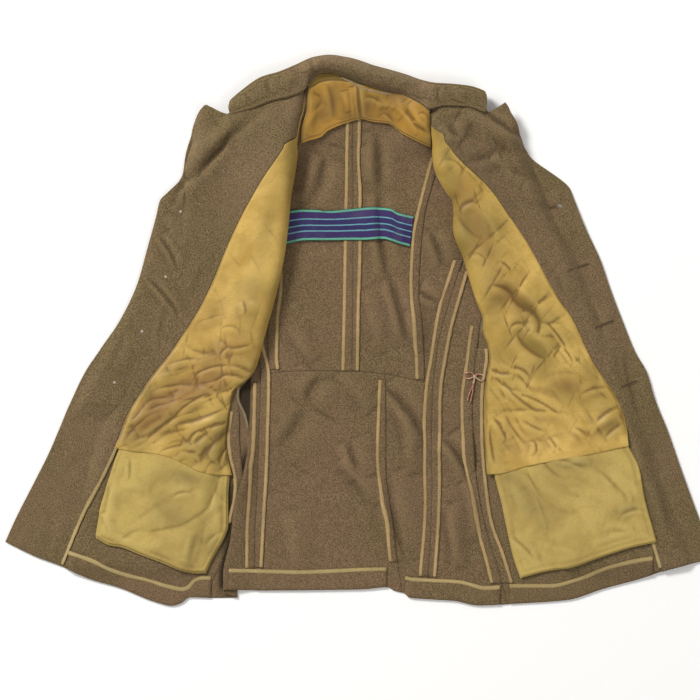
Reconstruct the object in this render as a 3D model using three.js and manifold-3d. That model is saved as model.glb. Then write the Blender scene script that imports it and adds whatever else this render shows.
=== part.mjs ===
// An officer's service jacket in wool, laid open on its back with its inside up.
// Millimetres, +Z up from the table. X < 0 holds the wearer's right side, which ends in _r,
// and X > 0 the left side, which ends in _l. +Y runs from the hem to the collar.
import * as THREE from 'three';
import { mergeVertices } from 'three/addons/utils/BufferGeometryUtils.js';
import Module from 'manifold-3d';

const wasm = await Module();
wasm.setup();
const { Manifold, Mesh: SolidMesh } = wasm;

// Cloth sizes
const WOOL = 1.5;
const LINING = 1.0;
const BINDING = 1.2;
const COLLAR = 2.4;
const GAP = 0.3;
const SEAM = 0.15;
const TAPE_WIDTH = 6;
const BUTTON_RADIUS = 12;
const BUTTON_HEIGHT = 6;
const SLEEVE_HEIGHT = 7;
const EYELET = { x: 283, y: 176, long: 6.5, wide: 4.6, turn: 0.244 };

// The middle of the spread coat, brought to the origin at the end
const MIDDLE = { x: 2.2445, y: 0.9035 };

// Colours
const COLOURS = {
  wool: 0x6b5a43,
  facing: 0x6f5e47,
  satin: 0xb08f45,
  pocketing: 0xa99550,
  binding: 0xa8905a,
  ribbon: 0x2b2550,
  cord: 0xb98a72,
  webbing: 0xcbb88c,
  button: 0x6d5526,
};

// Helpers: tables, curves and smooth steps
function table(names, rows) {
  const keys = names.split(' ');
  return rows.map((row) => Object.fromEntries(row.map((value, i) => [keys[i], value])));
}

function curve(rows, from, to) {
  const list = [...rows].sort((a, b) => a[from] - b[from]);
  const k = list.map((row) => row[from]);
  const f = list.map((row) => row[to]);
  const step = k.slice(1).map((value, i) => (f[i + 1] - f[i]) / (value - k[i]));
  const slope = k.map((_, i) => {
    if (i === 0) return step[0];
    if (i === k.length - 1) return step[i - 1];
    const same = step[i - 1] * step[i] > 0;
    return same ? (2 * step[i - 1] * step[i]) / (step[i - 1] + step[i]) : 0;
  });
  return (at) => {
    const last = k.length - 1;
    if (at <= k[0]) return f[0] + slope[0] * (at - k[0]);
    if (at >= k[last]) return f[last] + slope[last] * (at - k[last]);
    let i = 0;
    while (at > k[i + 1]) i += 1;
    const w = k[i + 1] - k[i];
    const t = (at - k[i]) / w;
    const a = f[i] * (1 + 2 * t) * (1 - t) ** 2;
    const b = f[i + 1] * t * t * (3 - 2 * t);
    const c = slope[i] * w * t * (1 - t) ** 2;
    const d = slope[i + 1] * w * t * t * (t - 1);
    return a + b + c + d;
  };
}

const lerp = (a, b, t) => a + (b - a) * t;
const clamp01 = (t) => Math.min(1, Math.max(0, t));
const smooth = (t) => clamp01(t) ** 2 * (3 - 2 * clamp01(t));

function ticks(count, power = 1) {
  return Array.from({ length: count + 1 }, (_, i) => (i / count) ** power);
}

// A net of points on a surface, with the normal at each point
function net(surface, us, vs) {
  const e = 1e-3;
  const rows = vs.map((v) => us.map((u) => {
    const du = surface(Math.min(1, u + e), v).sub(surface(Math.max(0, u - e), v));
    const dv = surface(u, Math.min(1, v + e)).sub(surface(u, Math.max(0, v - e)));
    return { p: surface(u, v), n: du.cross(dv).normalize() };
  }));
  const up = rows.flat().reduce((sum, q) => sum + q.n.z, 0);
  if (up < 0) rows.flat().forEach((q) => q.n.negate());
  return { rows, turned: up < 0 };
}

// Part of a net, from one column and row to another, drawn in at its sides by an inset
function partOf(whole, i0, i1, j0, j1, inset = 0) {
  const copy = (q) => ({ p: q.p.clone(), n: q.n });
  const rows = whole.rows.slice(j0, j1 + 1).map((row) => row.slice(i0, i1 + 1).map(copy));
  const draw = (q, towards) => {
    const way = towards.p.clone().sub(q.p);
    q.p.addScaledVector(way, Math.min(0.4, inset / way.length()));
  };
  if (inset > 0) {
    for (const row of rows) {
      draw(row[0], row[1]);
      draw(row.at(-1), row.at(-2));
    }
    rows[0].forEach((q, i) => draw(q, rows[1][i]));
    rows.at(-1).forEach((q, i) => draw(q, rows.at(-2)[i]));
  }
  return { rows, turned: whole.turned };
}

// A wall of cloth on a net: the net is its lower face and the wall rises along the normals
function thicken({ rows, turned }, thickness, lift = 0) {
  const nv = rows.length;
  const nu = rows[0].length;
  const positions = [];
  for (const raise of [lift, lift + thickness]) {
    rows.flat().forEach((q) => positions.push(...q.p.clone().addScaledVector(q.n, raise)));
  }
  const index = [];
  const size = nu * nv;
  const quad = (a, b, c, d) => (turned ? index.push(a, c, b, a, d, c) : index.push(a, b, c, a, c, d));
  for (let j = 0; j < nv - 1; j += 1) {
    for (let i = 0; i < nu - 1; i += 1) {
      const a = j * nu + i;
      quad(size + a, size + a + 1, size + a + nu + 1, size + a + nu);
      quad(a, a + nu, a + nu + 1, a + 1);
    }
  }
  for (let i = 0; i < nu - 1; i += 1) {
    const top = (nv - 1) * nu + i;
    quad(i, i + 1, size + i + 1, size + i);
    quad(top + 1, top, size + top, size + top + 1);
  }
  for (let j = 0; j < nv - 1; j += 1) {
    const left = j * nu;
    const right = left + nu - 1;
    quad(left + nu, left, size + left, size + left + nu);
    quad(right, right + nu, size + right + nu, size + right);
  }
  return solid(positions, index);
}

function wall(surface, us, vs, thickness, lift = 0) {
  return thicken(net(surface, us, vs), thickness, lift);
}

function solid(positions, index) {
  const geometry = new THREE.BufferGeometry();
  geometry.setAttribute('position', new THREE.Float32BufferAttribute(positions, 3));
  geometry.setIndex(index);
  return geometry;
}

// A closed geometry as a solid that can be joined and cut, and back again
function toManifold(geometry) {
  const bare = geometry.clone();
  bare.deleteAttribute('normal');
  bare.deleteAttribute('uv');
  const merged = mergeVertices(bare, 1e-4);
  return new Manifold(new SolidMesh({
    numProp: 3,
    vertProperties: new Float32Array(merged.getAttribute('position').array),
    triVerts: new Uint32Array(merged.getIndex().array),
  }));
}

function fromManifold(made) {
  const mesh = made.getMesh();
  return solid(Array.from(mesh.vertProperties), Array.from(mesh.triVerts));
}

// A point of a panel between two side curves x(y) and two end curves y(x)
function within(left, right, bottom, top) {
  return (u, v) => {
    let y = lerp(bottom(lerp(left(0), right(0), u)), top(lerp(left(0), right(0), u)), v);
    let x = 0;
    for (let pass = 0; pass < 14; pass += 1) {
      x = lerp(left(y), right(y), u);
      y = lerp(y, lerp(bottom(x), top(x), v), 0.8);
    }
    return [x, y];
  };
}

// Rows of a body panel: level lines at the stations between its slanting ends
function levelPanel(left, right, bottom, top, stations, columns) {
  const ends = within(left, right, bottom, top);
  const low = Math.max(...columns.map((u) => ends(u, 0)[1])) + 6;
  const high = Math.min(...columns.map((u) => ends(u, 1)[1])) - 6;
  const rows = stations.filter((y) => y > low && y < high);
  const outline = (u, v) => {
    const at = v * (rows.length + 1);
    const k = Math.min(rows.length, Math.floor(at));
    const place = (j) => {
      if (j === 0) return ends(u, 0);
      if (j > rows.length) return ends(u, 1);
      return [lerp(left(rows[j - 1]), right(rows[j - 1]), u), rows[j - 1]];
    };
    const [a, b] = [place(k), place(k + 1)];
    return [lerp(a[0], b[0], at - k), lerp(a[1], b[1], at - k)];
  };
  return { outline, us: columns, vs: ticks(rows.length + 1) };
}

function flatPanel(outline, height) {
  return (u, v) => {
    const [x, y] = outline(u, v);
    return new THREE.Vector3(x, y, height(x, y));
  };
}

// Seams of the body, as x at each height y
const CENTRE = curve(table('y x', [[350, -8], [130, -6.5], [-56, -8]]), 'y', 'x');

const SIDE_BACK_R = curve(table('y x', [
  [184, -104], [128, -112], [86, -117], [44, -123], [-5, -127], [-33, -126], [-60, -121],
]), 'y', 'x');

const SIDE_BACK_L = curve(table('y x', [
  [250, 117], [208, 105], [161, 93], [101, 87], [61, 85], [12, 88.5], [-40, 92.5], [-69, 93],
]), 'y', 'x');

const SIDE_SEAM_R = curve(table('y x', [
  [97, -165], [44, -155], [-18, -143], [-62, -136], [-141, -138], [-229, -141], [-285, -144], [-362, -144],
]), 'y', 'x');

const SIDE_SEAM_L = curve(table('y x', [
  [111, 151], [79, 140], [44, 129], [13, 120], [-19, 112], [-54, 108], [-89, 104], [-152, 103],
  [-208, 104], [-278, 102], [-374, 97],
]), 'y', 'x');

const UNDERARM_SEAM_R = curve(table('y x', [
  [20, -172], [-50, -168], [-85, -163], [-110, -166], [-140, -166], [-175, -164], [-208, -160],
  [-240, -164], [-285, -175], [-327, -192], [-355, -205], [-372, -209],
]), 'y', 'x');

const UNDERARM_SEAM_L = curve(table('y x', [
  [60, 181], [36, 178], [20, 174], [5, 170], [-16, 167.5], [-43, 164], [-97, 160], [-145, 160.7],
  [-190, 164], [-237, 171], [-283, 181], [-318, 192], [-353, 202], [-384, 210],
]), 'y', 'x');

// The rolled inner line of each front, from the neck down to the seam under the arm
const ROLL_R = table('y x h', [
  [333, -75, 26], [311, -77, 30], [293, -82, 33], [270, -86, 34], [235, -89, 33], [184, -97, 32],
  [142, -101, 30], [95, -108, 28], [43, -120, 26], [5, -131, 24], [-45, -144, 17], [-61, -151, 12],
  [-85, -167.2, 1.2], [-100, -168, 0],
]);

const ROLL_L = table('y x h', [
  [318, 102, 28], [303, 102, 31], [257, 106, 34], [230, 109, 33], [194, 127, 32], [183, 135, 31],
  [157, 137, 30], [97, 152, 27], [53, 165, 18], [36, 170, 12], [20, 174, 7], [-4, 169, 2], [-16, 167.5, 0],
]);

// Front edges with the lapels, as x at each height y
const EDGE_R = table('y x', [
  [316, -211], [311, -217], [282, -230], [248, -241], [218, -245.5], [208, -251], [198, -262],
  [183, -276], [162, -281], [114, -294], [65, -308], [13, -333], [-26, -361], [-57, -382], [-101, -403],
  [-169, -432], [-209, -452], [-264, -480], [-292, -492.5],
]);

const EDGE_L = table('y x', [
  [320, 205], [315, 209], [296, 216], [257, 230], [239, 246.5], [225, 266], [213, 283], [202, 295],
  [183, 303], [143, 319], [100, 339], [57, 354], [10, 372], [-29, 388], [-57, 404], [-96, 416],
  [-138, 433], [-195, 453], [-250, 473], [-317, 498],
]);

// Where the wool facing ends and the lining, or below it the bare front, begins
const FACING_R = table('y x', [
  [285, -85], [275, -92], [247, -109], [216, -130], [164, -160], [104, -189], [61, -207], [15, -232],
  [-26, -260], [-79, -301], [-120, -326], [-160, -340], [-197, -357], [-255, -386], [-326, -416],
]);

const FACING_L = table('y x', [
  [302, 102], [279, 113], [250, 132], [234, 146], [199, 183], [157, 214], [120, 239], [57, 274],
  [17, 300], [-47, 332], [-94, 363], [-130, 376], [-160, 379], [-222, 395], [-285, 412], [-332, 426],
]);

// Ends of the panels, as y at each x
const WAIST = curve(table('x y', [
  [-136, -60], [-81, -55.5], [-11, -56], [38, -60], [83, -69], [115, -75],
]), 'x', 'y');

const NECK = curve(table('x y', [
  [-75, 337], [-71, 345], [-62, 357], [-50, 362], [-32, 361], [-13, 355], [7, 346.5], [29, 339.5],
  [59, 333], [84, 321], [95, 313], [102, 305],
]), 'x', 'y');

const GORGE_R = curve(table('x y', [
  [-211, 316], [-205, 313.5], [-190, 306], [-180, 303], [-151, 310], [-122, 321], [-95, 327], [-75, 336],
]), 'x', 'y');

const GORGE_L = curve(table('x y', [
  [100, 307], [122, 314], [150, 313], [178, 304.5], [190, 310], [205, 320],
]), 'x', 'y');

const HEM_R = curve(table('x y', [
  [-492, -295], [-452, -314.5], [-416, -328], [-370, -348], [-333, -359], [-284, -378.5], [-260, -384],
  [-245, -379], [-237, -372], [-196, -373], [-172, -373],
]), 'x', 'y');

const HEM_BACK = curve(table('x y', [
  [-188, -361], [-137, -362.5], [3, -361], [42, -358], [50, -362.5], [64, -366],
]), 'x', 'y');

const HEM_L = curve(table('x y', [
  [40, -359], [50, -362.5], [64, -366], [72, -372.5], [95, -374.5], [134, -377], [169, -383.5],
  [221, -381], [292, -376], [344, -360], [388, -348], [430, -334], [479, -322], [498, -317],
]), 'x', 'y');

const VENT = curve(table('y x', [
  [-58, 38], [-100, 39], [-194, 39], [-250, 45], [-306, 53], [-366, 63],
]), 'y', 'x');

// Middle of the bound upper edge of the hem's turn-up, as y at each x
const TURN_UP_R = curve(table('x y', [
  [-405, -309], [-373, -320], [-347, -332], [-325, -339.5], [-293, -348], [-269, -356], [-245, -360.5],
  [-238, -358], [-228, -348], [-218, -345], [-190, -345],
]), 'x', 'y');

const TURN_UP_BACK = curve(table('x y', [[-187, -334], [-81, -336.5], [38, -332.5], [60, -337]]), 'x', 'y');

const TURN_UP_L = curve(table('x y', [
  [58, -340], [73, -346.5], [142, -350.5], [179, -359], [220, -356], [269, -356], [308, -346.5],
  [347, -330.5], [382, -322], [414, -316.5],
]), 'x', 'y');

// Sleeves, flat beneath the fronts: inner and outer side at each y, and the height h that
// sleeve and shoulder together give the front over them
const SLEEVE_R = table('y in out h', [
  [262, -118, -206, 18], [200, -124, -222, 14], [150, -138, -230, 10], [97, -172, -243, 7.5],
  [50, -181, -260, 6], [0, -185, -276, 5.5], [-69, -190, -306, 5.5], [-150, -205, -340, 5.5],
  [-240, -226, -364, 5.5], [-284, -238, -378, 5.5],
]);

const SLEEVE_L = table('y in out h', [
  [262, 140, 206, 18], [200, 150, 232, 14], [150, 160, 254, 10], [100, 174, 280, 7.5], [50, 190, 302, 6],
  [0, 204, 322, 5.5], [-69, 224, 352, 5.5], [-150, 248, 380, 5.5], [-240, 274, 412, 5.5],
  [-284, 288, 430, 5.5],
]);

// Buttons of the wearer's right front, each beneath its sewing
const BUTTONS = table('x y', [[-252, 167], [-272, 76], [-304, 1], [-342, -69]]);

// Largest soft folds of the fronts, each along a line from one point to another
const FOLDS = table('x1 y1 x2 y2 height width', [
  [-162, 303, -251, 209, 5, 15],
  [-153, 290, -262, 190, -3, 12],
  [141, 308, 228, 257, 6, 15],
  [150, 236, 192, 247, -3, 9],
]);

function foldHeight(x, y) {
  let z = 0;
  for (const f of FOLDS) {
    const dx = f.x2 - f.x1;
    const dy = f.y2 - f.y1;
    const t = clamp01(((x - f.x1) * dx + (y - f.y1) * dy) / (dx * dx + dy * dy));
    const away = Math.hypot(x - f.x1 - t * dx, y - f.y1 - t * dy);
    z += f.height * Math.exp(-((away / f.width) ** 2)) * (0.4 + 0.6 * Math.sin(Math.PI * t));
  }
  return z;
}

// Each side of the coat as one set of curves; g points from the middle to the front edge
function side(g, roll, edge, facing, sleeve, buttons) {
  return {
    g,
    inner: curve(roll, 'y', 'x'),
    rollHeight: curve(roll, 'y', 'h'),
    edge: curve(edge, 'y', 'x'),
    facing: curve(facing, 'y', 'x'),
    sleeveIn: curve(sleeve, 'y', 'in'),
    sleeveOut: curve(sleeve, 'y', 'out'),
    sleeveHeight: curve(sleeve, 'y', 'h'),
    buttonLine: buttons.length ? curve(buttons, 'y', 'x') : null,
  };
}

const RIGHT = side(-1, ROLL_R, EDGE_R, FACING_R, SLEEVE_R, BUTTONS);
const LEFT = side(1, ROLL_L, EDGE_L, FACING_L, SLEEVE_L, []);

// The inner line of a front: the roll above, the seam under the arm below it
RIGHT.start = (y) => (y > -85 ? RIGHT.inner(y) : UNDERARM_SEAM_R(y) - SEAM - 2.8 * smooth((y + 116) / 24));
LEFT.start = (y) => (y > 5 ? LEFT.inner(y) : UNDERARM_SEAM_L(y) + SEAM);
RIGHT.rollEnd = -100;
LEFT.rollEnd = -16;

// Height of a front over the sleeve and the buttons beneath it
function cover(s, x, y) {
  const d = x * s.g;
  const level = Math.min(y, 262);
  const from = s.sleeveIn(level) * s.g;
  const to = s.sleeveOut(level) * s.g;
  const across = smooth((d - from + 26) / 20) * smooth((to + 26 - d) / 20);
  const cuff = smooth((y + 350) / 28);
  let z = (Math.max(5.5, s.sleeveHeight(level)) + 0.7) * across * cuff;
  if (s.buttonLine) {
    const away = Math.abs(x - s.buttonLine(y));
    const along = smooth((y + 130) / 35) * smooth((225 - y) / 35);
    z = Math.max(z, (BUTTON_HEIGHT + 0.8) * along * (1 - smooth((away - BUTTON_RADIUS - 9) / 22)));
  }
  return Math.max(0, z + foldHeight(x, y) * smooth((z - 3) / 6));
}

// One section of a front at height y: from beneath the roll, over it and out to the edge
function frontSection(s, y) {
  const start = s.start(y);
  const width = (s.edge(y) - start) * s.g;
  const h = y > s.rollEnd ? Math.max(0, s.rollHeight(Math.min(y, 333))) : 0;
  const r = Math.max(8, h / 2);
  const neck = smooth((y - 235) / 30);
  const under = h > 8 ? -50 * smooth((h - 8) / 14) : 60 * (1 - h / 8);
  const turn = lerp(under, 25, neck) * (Math.PI / 180);
  const lip = lerp(6 * smooth(h / 16), 0.6 * h, neck);
  const points = [];
  for (let k = 0; k <= 10; k += 1) {
    const angle = lerp(turn, Math.PI / 2, k / 10);
    const round = (Math.sin(angle) - Math.sin(turn)) / (1 - Math.sin(turn));
    const rise = lerp(smooth(k / 10), round, smooth((h - 4) / 6));
    points.push([r * (Math.cos(Math.max(turn, 0)) - Math.cos(angle)), lerp(lip, h, rise)]);
  }
  const ground = (d) => cover(s, start + s.g * d, y);
  const fall = Math.max(30, 2.6 * h);
  const from = points.at(-1);
  const steps = Math.ceil((width - from[0]) / 5);
  for (let k = 1; k <= steps; k += 1) {
    const d = lerp(from[0], width, k / steps);
    const t = clamp01((d - from[0]) / fall);
    points.push([d, lerp(ground(d), from[1], (1 - t) ** 2 * (1 + 2 * t))]);
  }
  const length = [0];
  points.slice(1).forEach((p, i) => {
    length.push(length[i] + Math.hypot(p[0] - points[i][0], p[1] - points[i][1]));
  });
  return { points, length, total: length.at(-1), start, rolled: 10 };
}

const sections = new Map();
function sectionAt(s, y) {
  const key = `${s.g}:${y.toFixed(3)}`;
  if (!sections.has(key)) sections.set(key, frontSection(s, y));
  return sections.get(key);
}

function alongSection(s, y, distance) {
  const c = sectionAt(s, y);
  const at = Math.min(Math.max(distance, 0), c.total);
  let i = 0;
  while (i < c.length.length - 2 && at > c.length[i + 1]) i += 1;
  const t = (at - c.length[i]) / (c.length[i + 1] - c.length[i]);
  const d = lerp(c.points[i][0], c.points[i + 1][0], t);
  return [c.start + s.g * d, lerp(c.points[i][1], c.points[i + 1][1], t)];
}

// Distance along the section of the place above x, past the roll
function distanceAt(s, y, x) {
  const c = sectionAt(s, y);
  const d = (x - c.start) * s.g;
  let i = c.rolled;
  while (i < c.points.length - 2 && d > c.points[i + 1][0]) i += 1;
  const t = clamp01((d - c.points[i][0]) / (c.points[i + 1][0] - c.points[i][0]));
  return lerp(c.length[i], c.length[i + 1], t);
}

function frontHeight(s, x, y) {
  return alongSection(s, y, distanceAt(s, y, x))[1];
}

// Height of the back: it lies on the table and climbs to the neck and the shoulders
function backHeight(x, y) {
  const shoulder = 15 * smooth((Math.abs(x + 2) - 45) / 55) * smooth((y - 235) / 45);
  return 13 * smooth((y - 225) / 110) + shoulder;
}

// Width of the bound allowance beside the start of each front, below the roll
RIGHT.near = curve(table('y d', [
  [-55, 3], [-79, 6], [-99, 11], [-143, 18], [-156, 18.5], [-198, 16], [-240, 13], [-258, 14], [-372, 14],
]), 'y', 'd');
LEFT.near = curve(table('y d', [
  [16, 3], [-4, 7], [-19, 14], [-40, 18.5], [-72, 16.5], [-150, 15.5], [-197, 15], [-265, 12.5], [-306, 15.5],
  [-384, 16.5],
]), 'y', 'd');

const LINING_COLUMNS = 8;
const FACING_COLUMNS = 5;

// Distances along a section of the columns of a front's net
function columnDistances(s, y) {
  const near = Math.max(3, s.near(Math.min(y, s.g > 0 ? 16 : -55)));
  const total = sectionAt(s, y).total;
  const facing = Math.max(near + 3, distanceAt(s, y, s.facing(y)));
  const tape = facing - Math.min(TAPE_WIDTH + GAP, 0.12 * (facing - near));
  const lining = ticks(LINING_COLUMNS, 1.35).map((t) => lerp(near, tape, t));
  const face = ticks(FACING_COLUMNS).map((t) => lerp(facing, total, t));
  return [0, ...lining, ...face];
}

// The net of a front: its rows follow the hem, the tape, the lining's lower edge and the gorge
function frontNet(s, hem, tape, line, gorge) {
  const top = moved(gorge, -0.4);
  const rows = [
    hem,
    moved(tape, -TAPE_WIDTH / 2),
    moved(tape, TAPE_WIDTH / 2),
    ...[1, 2].map((k) => (x) => lerp(tape(x) + TAPE_WIDTH / 2, line(x), k / 3)),
    ...ticks(14).map((t) => (x) => lerp(line(x), top(x), t)),
  ];
  const count = columnDistances(s, 0).length;
  const place = (u, v) => {
    const i = Math.min(count - 2, Math.floor(u * (count - 1)));
    const j = Math.min(rows.length - 2, Math.floor(v * (rows.length - 1)));
    const across = u * (count - 1) - i;
    const along = v * (rows.length - 1) - j;
    let y = lerp(-300, 250, v);
    let p = [0, 0];
    for (let pass = 0; pass < 12; pass += 1) {
      const d = columnDistances(s, y);
      p = alongSection(s, y, lerp(d[i], d[i + 1], across));
      y = lerp(y, lerp(rows[j](p[0]), rows[j + 1](p[0]), along), 0.8);
    }
    return new THREE.Vector3(p[0], y, p[1]);
  };
  return net(place, ticks(count - 1), ticks(rows.length - 1));
}

const NEAR_COLUMN = 1;
const TAPE_COLUMN = 1 + LINING_COLUMNS;
const FACING_COLUMN = 2 + LINING_COLUMNS;
const TURN_UP_ROW = 1;
const TAPE_ROW = 2;
const LINING_ROW = 5;

const LINE_R = curve(table('x y', [
  [-430, -150], [-343, -159], [-325, -163], [-277, -169], [-245, -181], [-214, -195], [-178, -198],
  [-160, -199],
]), 'x', 'y');
const LINE_L = curve(table('x y', [
  [160, -197], [192, -196.5], [241, -184], [339, -166], [379, -157], [450, -150],
]), 'x', 'y');

const moved = (f, by) => (t) => f(t) + by;
const NET_R = frontNet(RIGHT, HEM_R, TURN_UP_R, LINE_R, GORGE_R);
const NET_L = frontNet(LEFT, HEM_L, TURN_UP_L, LINE_L, GORGE_L);

// Heights at which both panels of a seam have points
const stationsOf = (front, from, to) => [
  ...front.rows.map((row) => row[0].p.y).filter((y) => y < from),
  ...Array.from({ length: 14 }, (_, k) => from + 12 + 30 * k).filter((y) => y < to),
];
const STATIONS_R = [...stationsOf(NET_R, -80, 330), -330].sort((a, b) => a - b);
const STATIONS_L = stationsOf(NET_L, 4, 330);

// Assembly
const group = new THREE.Group();
group.name = 'officer_service_jacket';

function add(name, geometry, colour, roughness = 0.9, metalness = 0) {
  const material = new THREE.MeshStandardMaterial({ color: colour, roughness, metalness });
  geometry.translate(-MIDDLE.x, -MIDDLE.y, 0);
  geometry.computeVertexNormals();
  const mesh = new THREE.Mesh(geometry, material);
  mesh.name = name;
  group.add(mesh);
}

const level = (y) => () => y;

// Back panels above the waist
function buildBack() {
  const shoulderR = curve(table('y x', [
    [337, -73], [300, -77], [262, -82.5], [240, -85], [226, -86.5], [205, -98], [184, -104],
  ]), 'y', 'x');
  const outerR = (y) => (y > 184 ? shoulderR(y) : SIDE_BACK_R(y));
  const rollL = curve(ROLL_L, 'y', 'x');
  const outerL = (y) => (y > 225 ? rollL(y) - 2.5 : SIDE_BACK_L(y) - SEAM);
  const top = moved(NECK, -1.8);
  const bottom = moved(WAIST, 0.4);
  const columns = [0, 0.14, 0.36, 0.58, 0.8, 1];
  const right = levelPanel(moved(CENTRE, -SEAM), moved(outerR, SEAM), bottom, top, STATIONS_R, columns);
  const left = levelPanel(moved(CENTRE, SEAM), outerL, bottom, top, STATIONS_L, columns);
  const netR = net(flatPanel(right.outline, backHeight), right.us, right.vs);
  const netL = net(flatPanel(left.outline, backHeight), left.us, left.vs);
  add('back_r', thicken(netR, WOOL), COLOURS.wool);
  add('back_l', thicken(netL, WOOL), COLOURS.wool);
  const over = WOOL + GAP;
  const rowBelow = (grid) => grid.rows.findIndex((row) => row[0].p.y > 285);
  const allowanceOf = (grid) => thicken(partOf(grid, 0, 1, 0, rowBelow(grid), 0.5), BINDING, over);
  add('seam_centre_r', allowanceOf(netR), COLOURS.binding);
  add('seam_centre_l', allowanceOf(netL), COLOURS.binding);
}

// Side back panels, whose upper ends run beneath the rolls into the armholes
function buildSideBack() {
  const armR = curve(table('y x', [[180, -112], [150, -124], [120, -140], [97, -164]]), 'y', 'x');
  const outerR = (y) => (y > 97 ? armR(y) : SIDE_SEAM_R(y) + SEAM);
  const armL = curve(table('y x', [[222, 121], [200, 136], [160, 146], [130, 155], [111, 151]]), 'y', 'x');
  const outerL = (y) => (y > 111 ? armL(y) : SIDE_SEAM_L(y) - SEAM);
  const bottom = moved(WAIST, 0.4);
  const right = levelPanel(outerR, moved(SIDE_BACK_R, -SEAM), bottom, level(176), STATIONS_R, ticks(2));
  const left = levelPanel(moved(SIDE_BACK_L, SEAM), outerL, bottom, level(218), STATIONS_L, ticks(2));
  const flat = () => 0;
  add('side_back_r', wall(flatPanel(right.outline, flat), right.us, right.vs, WOOL), COLOURS.wool);
  add('side_back_l', wall(flatPanel(left.outline, flat), left.us, left.vs, WOOL), COLOURS.wool);
}

// Pleat of the right side panel, by height: heading of its middle leaf and that leaf's length
const PLEAT = table('y turn leaf fold', [
  [-60, 2, 2, -152], [-120, 25, 2, -153.5], [-165, 70, 1, -155], [-190, 115, 2.5, -158.5],
  [-208, 150, 5, -162], [-240, 172, 10, -172], [-290, 179, 15, -178], [-340, 180, 16, -188],
  [-373, 180, 16, -188],
]);
const PLEAT_TURN = curve(PLEAT, 'y', 'turn');
const PLEAT_LEAF = curve(PLEAT, 'y', 'leaf');
const PLEAT_FOLD = curve(PLEAT, 'y', 'fold');
const CURL = 4.4;
const PLEAT_START = -60;

function pleatSize(y) {
  const low = Math.min(y, PLEAT_START);
  const turn = Math.min(180, Math.max(2, PLEAT_TURN(low))) * (Math.PI / 180);
  const leaf = PLEAT_LEAF(low);
  const radius = CURL / turn;
  const drop = 2 * radius * (1 - Math.cos(turn)) + leaf * Math.sin(turn);
  return { turn, leaf, radius, drop };
}

// Height of the top leaf between the side seam and the fold's edge
function topLeafHeight(x, y) {
  if (y > PLEAT_START) return 0;
  const seam = SIDE_SEAM_R(y);
  return pleatSize(y).drop * smooth((seam - x) / (seam - crestOf(y)));
}

function crestOf(y) {
  const { turn, radius } = pleatSize(y);
  return PLEAT_FOLD(y) + (turn > Math.PI / 2 ? radius : radius * Math.sin(turn));
}

// The right side panel's section: top leaf, turn, middle leaf, turn back, lower leaf
function pleatPoint(u, y) {
  const { turn, leaf, radius, drop } = pleatSize(y);
  const seam = SIDE_SEAM_R(y) - SEAM;
  const end = UNDERARM_SEAM_R(y) + SEAM;
  const crest = crestOf(y);
  if (u <= 0.28) {
    const tape = Math.max(seam - 14.5, lerp(seam, crest, 0.8));
    const x = u < 0.18 ? lerp(seam, tape, u / 0.18) : lerp(tape, crest, (u - 0.18) / 0.1);
    return [x, drop * smooth((seam - x) / (seam - crest))];
  }
  const first = clamp01((u - 0.28) / 0.2) * turn;
  let x = crest - radius * Math.sin(first);
  let z = drop - radius * (1 - Math.cos(first));
  if (u <= 0.48) return [x, z];
  const slide = clamp01((u - 0.48) / 0.12) * leaf;
  x -= slide * Math.cos(turn);
  z -= slide * Math.sin(turn);
  if (u <= 0.6) return [x, z];
  const second = turn * (1 - clamp01((u - 0.6) / 0.2));
  x -= radius * (Math.sin(turn) - Math.sin(second));
  z -= radius * (Math.cos(second) - Math.cos(turn));
  if (u <= 0.8) return [x, Math.max(0, z)];
  return [lerp(x, end, (u - 0.8) / 0.2), 0];
}

// Side panels under the arms, from armhole to hem
function buildSides() {
  const columns = [0, 0.09, 0.18, 0.28, 0.34, 0.41, 0.48, 0.6, 0.66, 0.73, 0.8, 0.9, 1];
  const hem = curve(table('u y', [
    [0, -362.3], [0.28, -361.5], [0.48, -367], [0.6, -372], [1, -373],
  ]), 'u', 'y');
  const armTop = curve(table('u y', [[0, 92], [0.28, 84], [1, 44]]), 'u', 'y');
  const stations = STATIONS_R.filter((y) => y > -352 && y < 34);
  const cloth = WOOL - 0.1;
  const right = (u, v) => {
    const at = v * (stations.length + 1);
    const k = Math.min(stations.length, Math.floor(at));
    const levels = [hem(u), ...stations, armTop(u)];
    const y = lerp(levels[k], levels[k + 1], at - k);
    if (y > PLEAT_START) {
      const from = SIDE_SEAM_R(PLEAT_START);
      const to = UNDERARM_SEAM_R(PLEAT_START);
      const t = clamp01((pleatPoint(u, PLEAT_START)[0] - from) / (to - from));
      const x = lerp(SIDE_SEAM_R(y) - SEAM, UNDERARM_SEAM_R(y) + SEAM, t);
      return new THREE.Vector3(x, y, cloth / 2);
    }
    const [x, z] = pleatPoint(u, y);
    return new THREE.Vector3(x, y, z + cloth / 2);
  };
  const whole = net(right, columns, ticks(stations.length + 1));
  add('side_r', thicken(whole, cloth, -cloth / 2), COLOURS.wool);
  const j0 = whole.rows.findIndex((row) => row[0].p.y > -331);
  const j1 = whole.rows.findIndex((row) => row[0].p.y > -90);
  const bound = partOf(whole, 0, 2, j0, j1, 0.4);
  add('seam_side_skirt_r', thicken(bound, BINDING, cloth / 2 + GAP), COLOURS.binding);
  const armL = curve(table('x y', [[145, 100], [166, 88], [181, 50]]), 'x', 'y');
  const outer = moved(UNDERARM_SEAM_L, -SEAM);
  const left = levelPanel(moved(SIDE_SEAM_L, SEAM), outer, HEM_L, armL, STATIONS_L, ticks(3));
  add('side_l', wall(flatPanel(left.outline, () => 0), left.us, left.vs, WOOL), COLOURS.wool);
}

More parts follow.
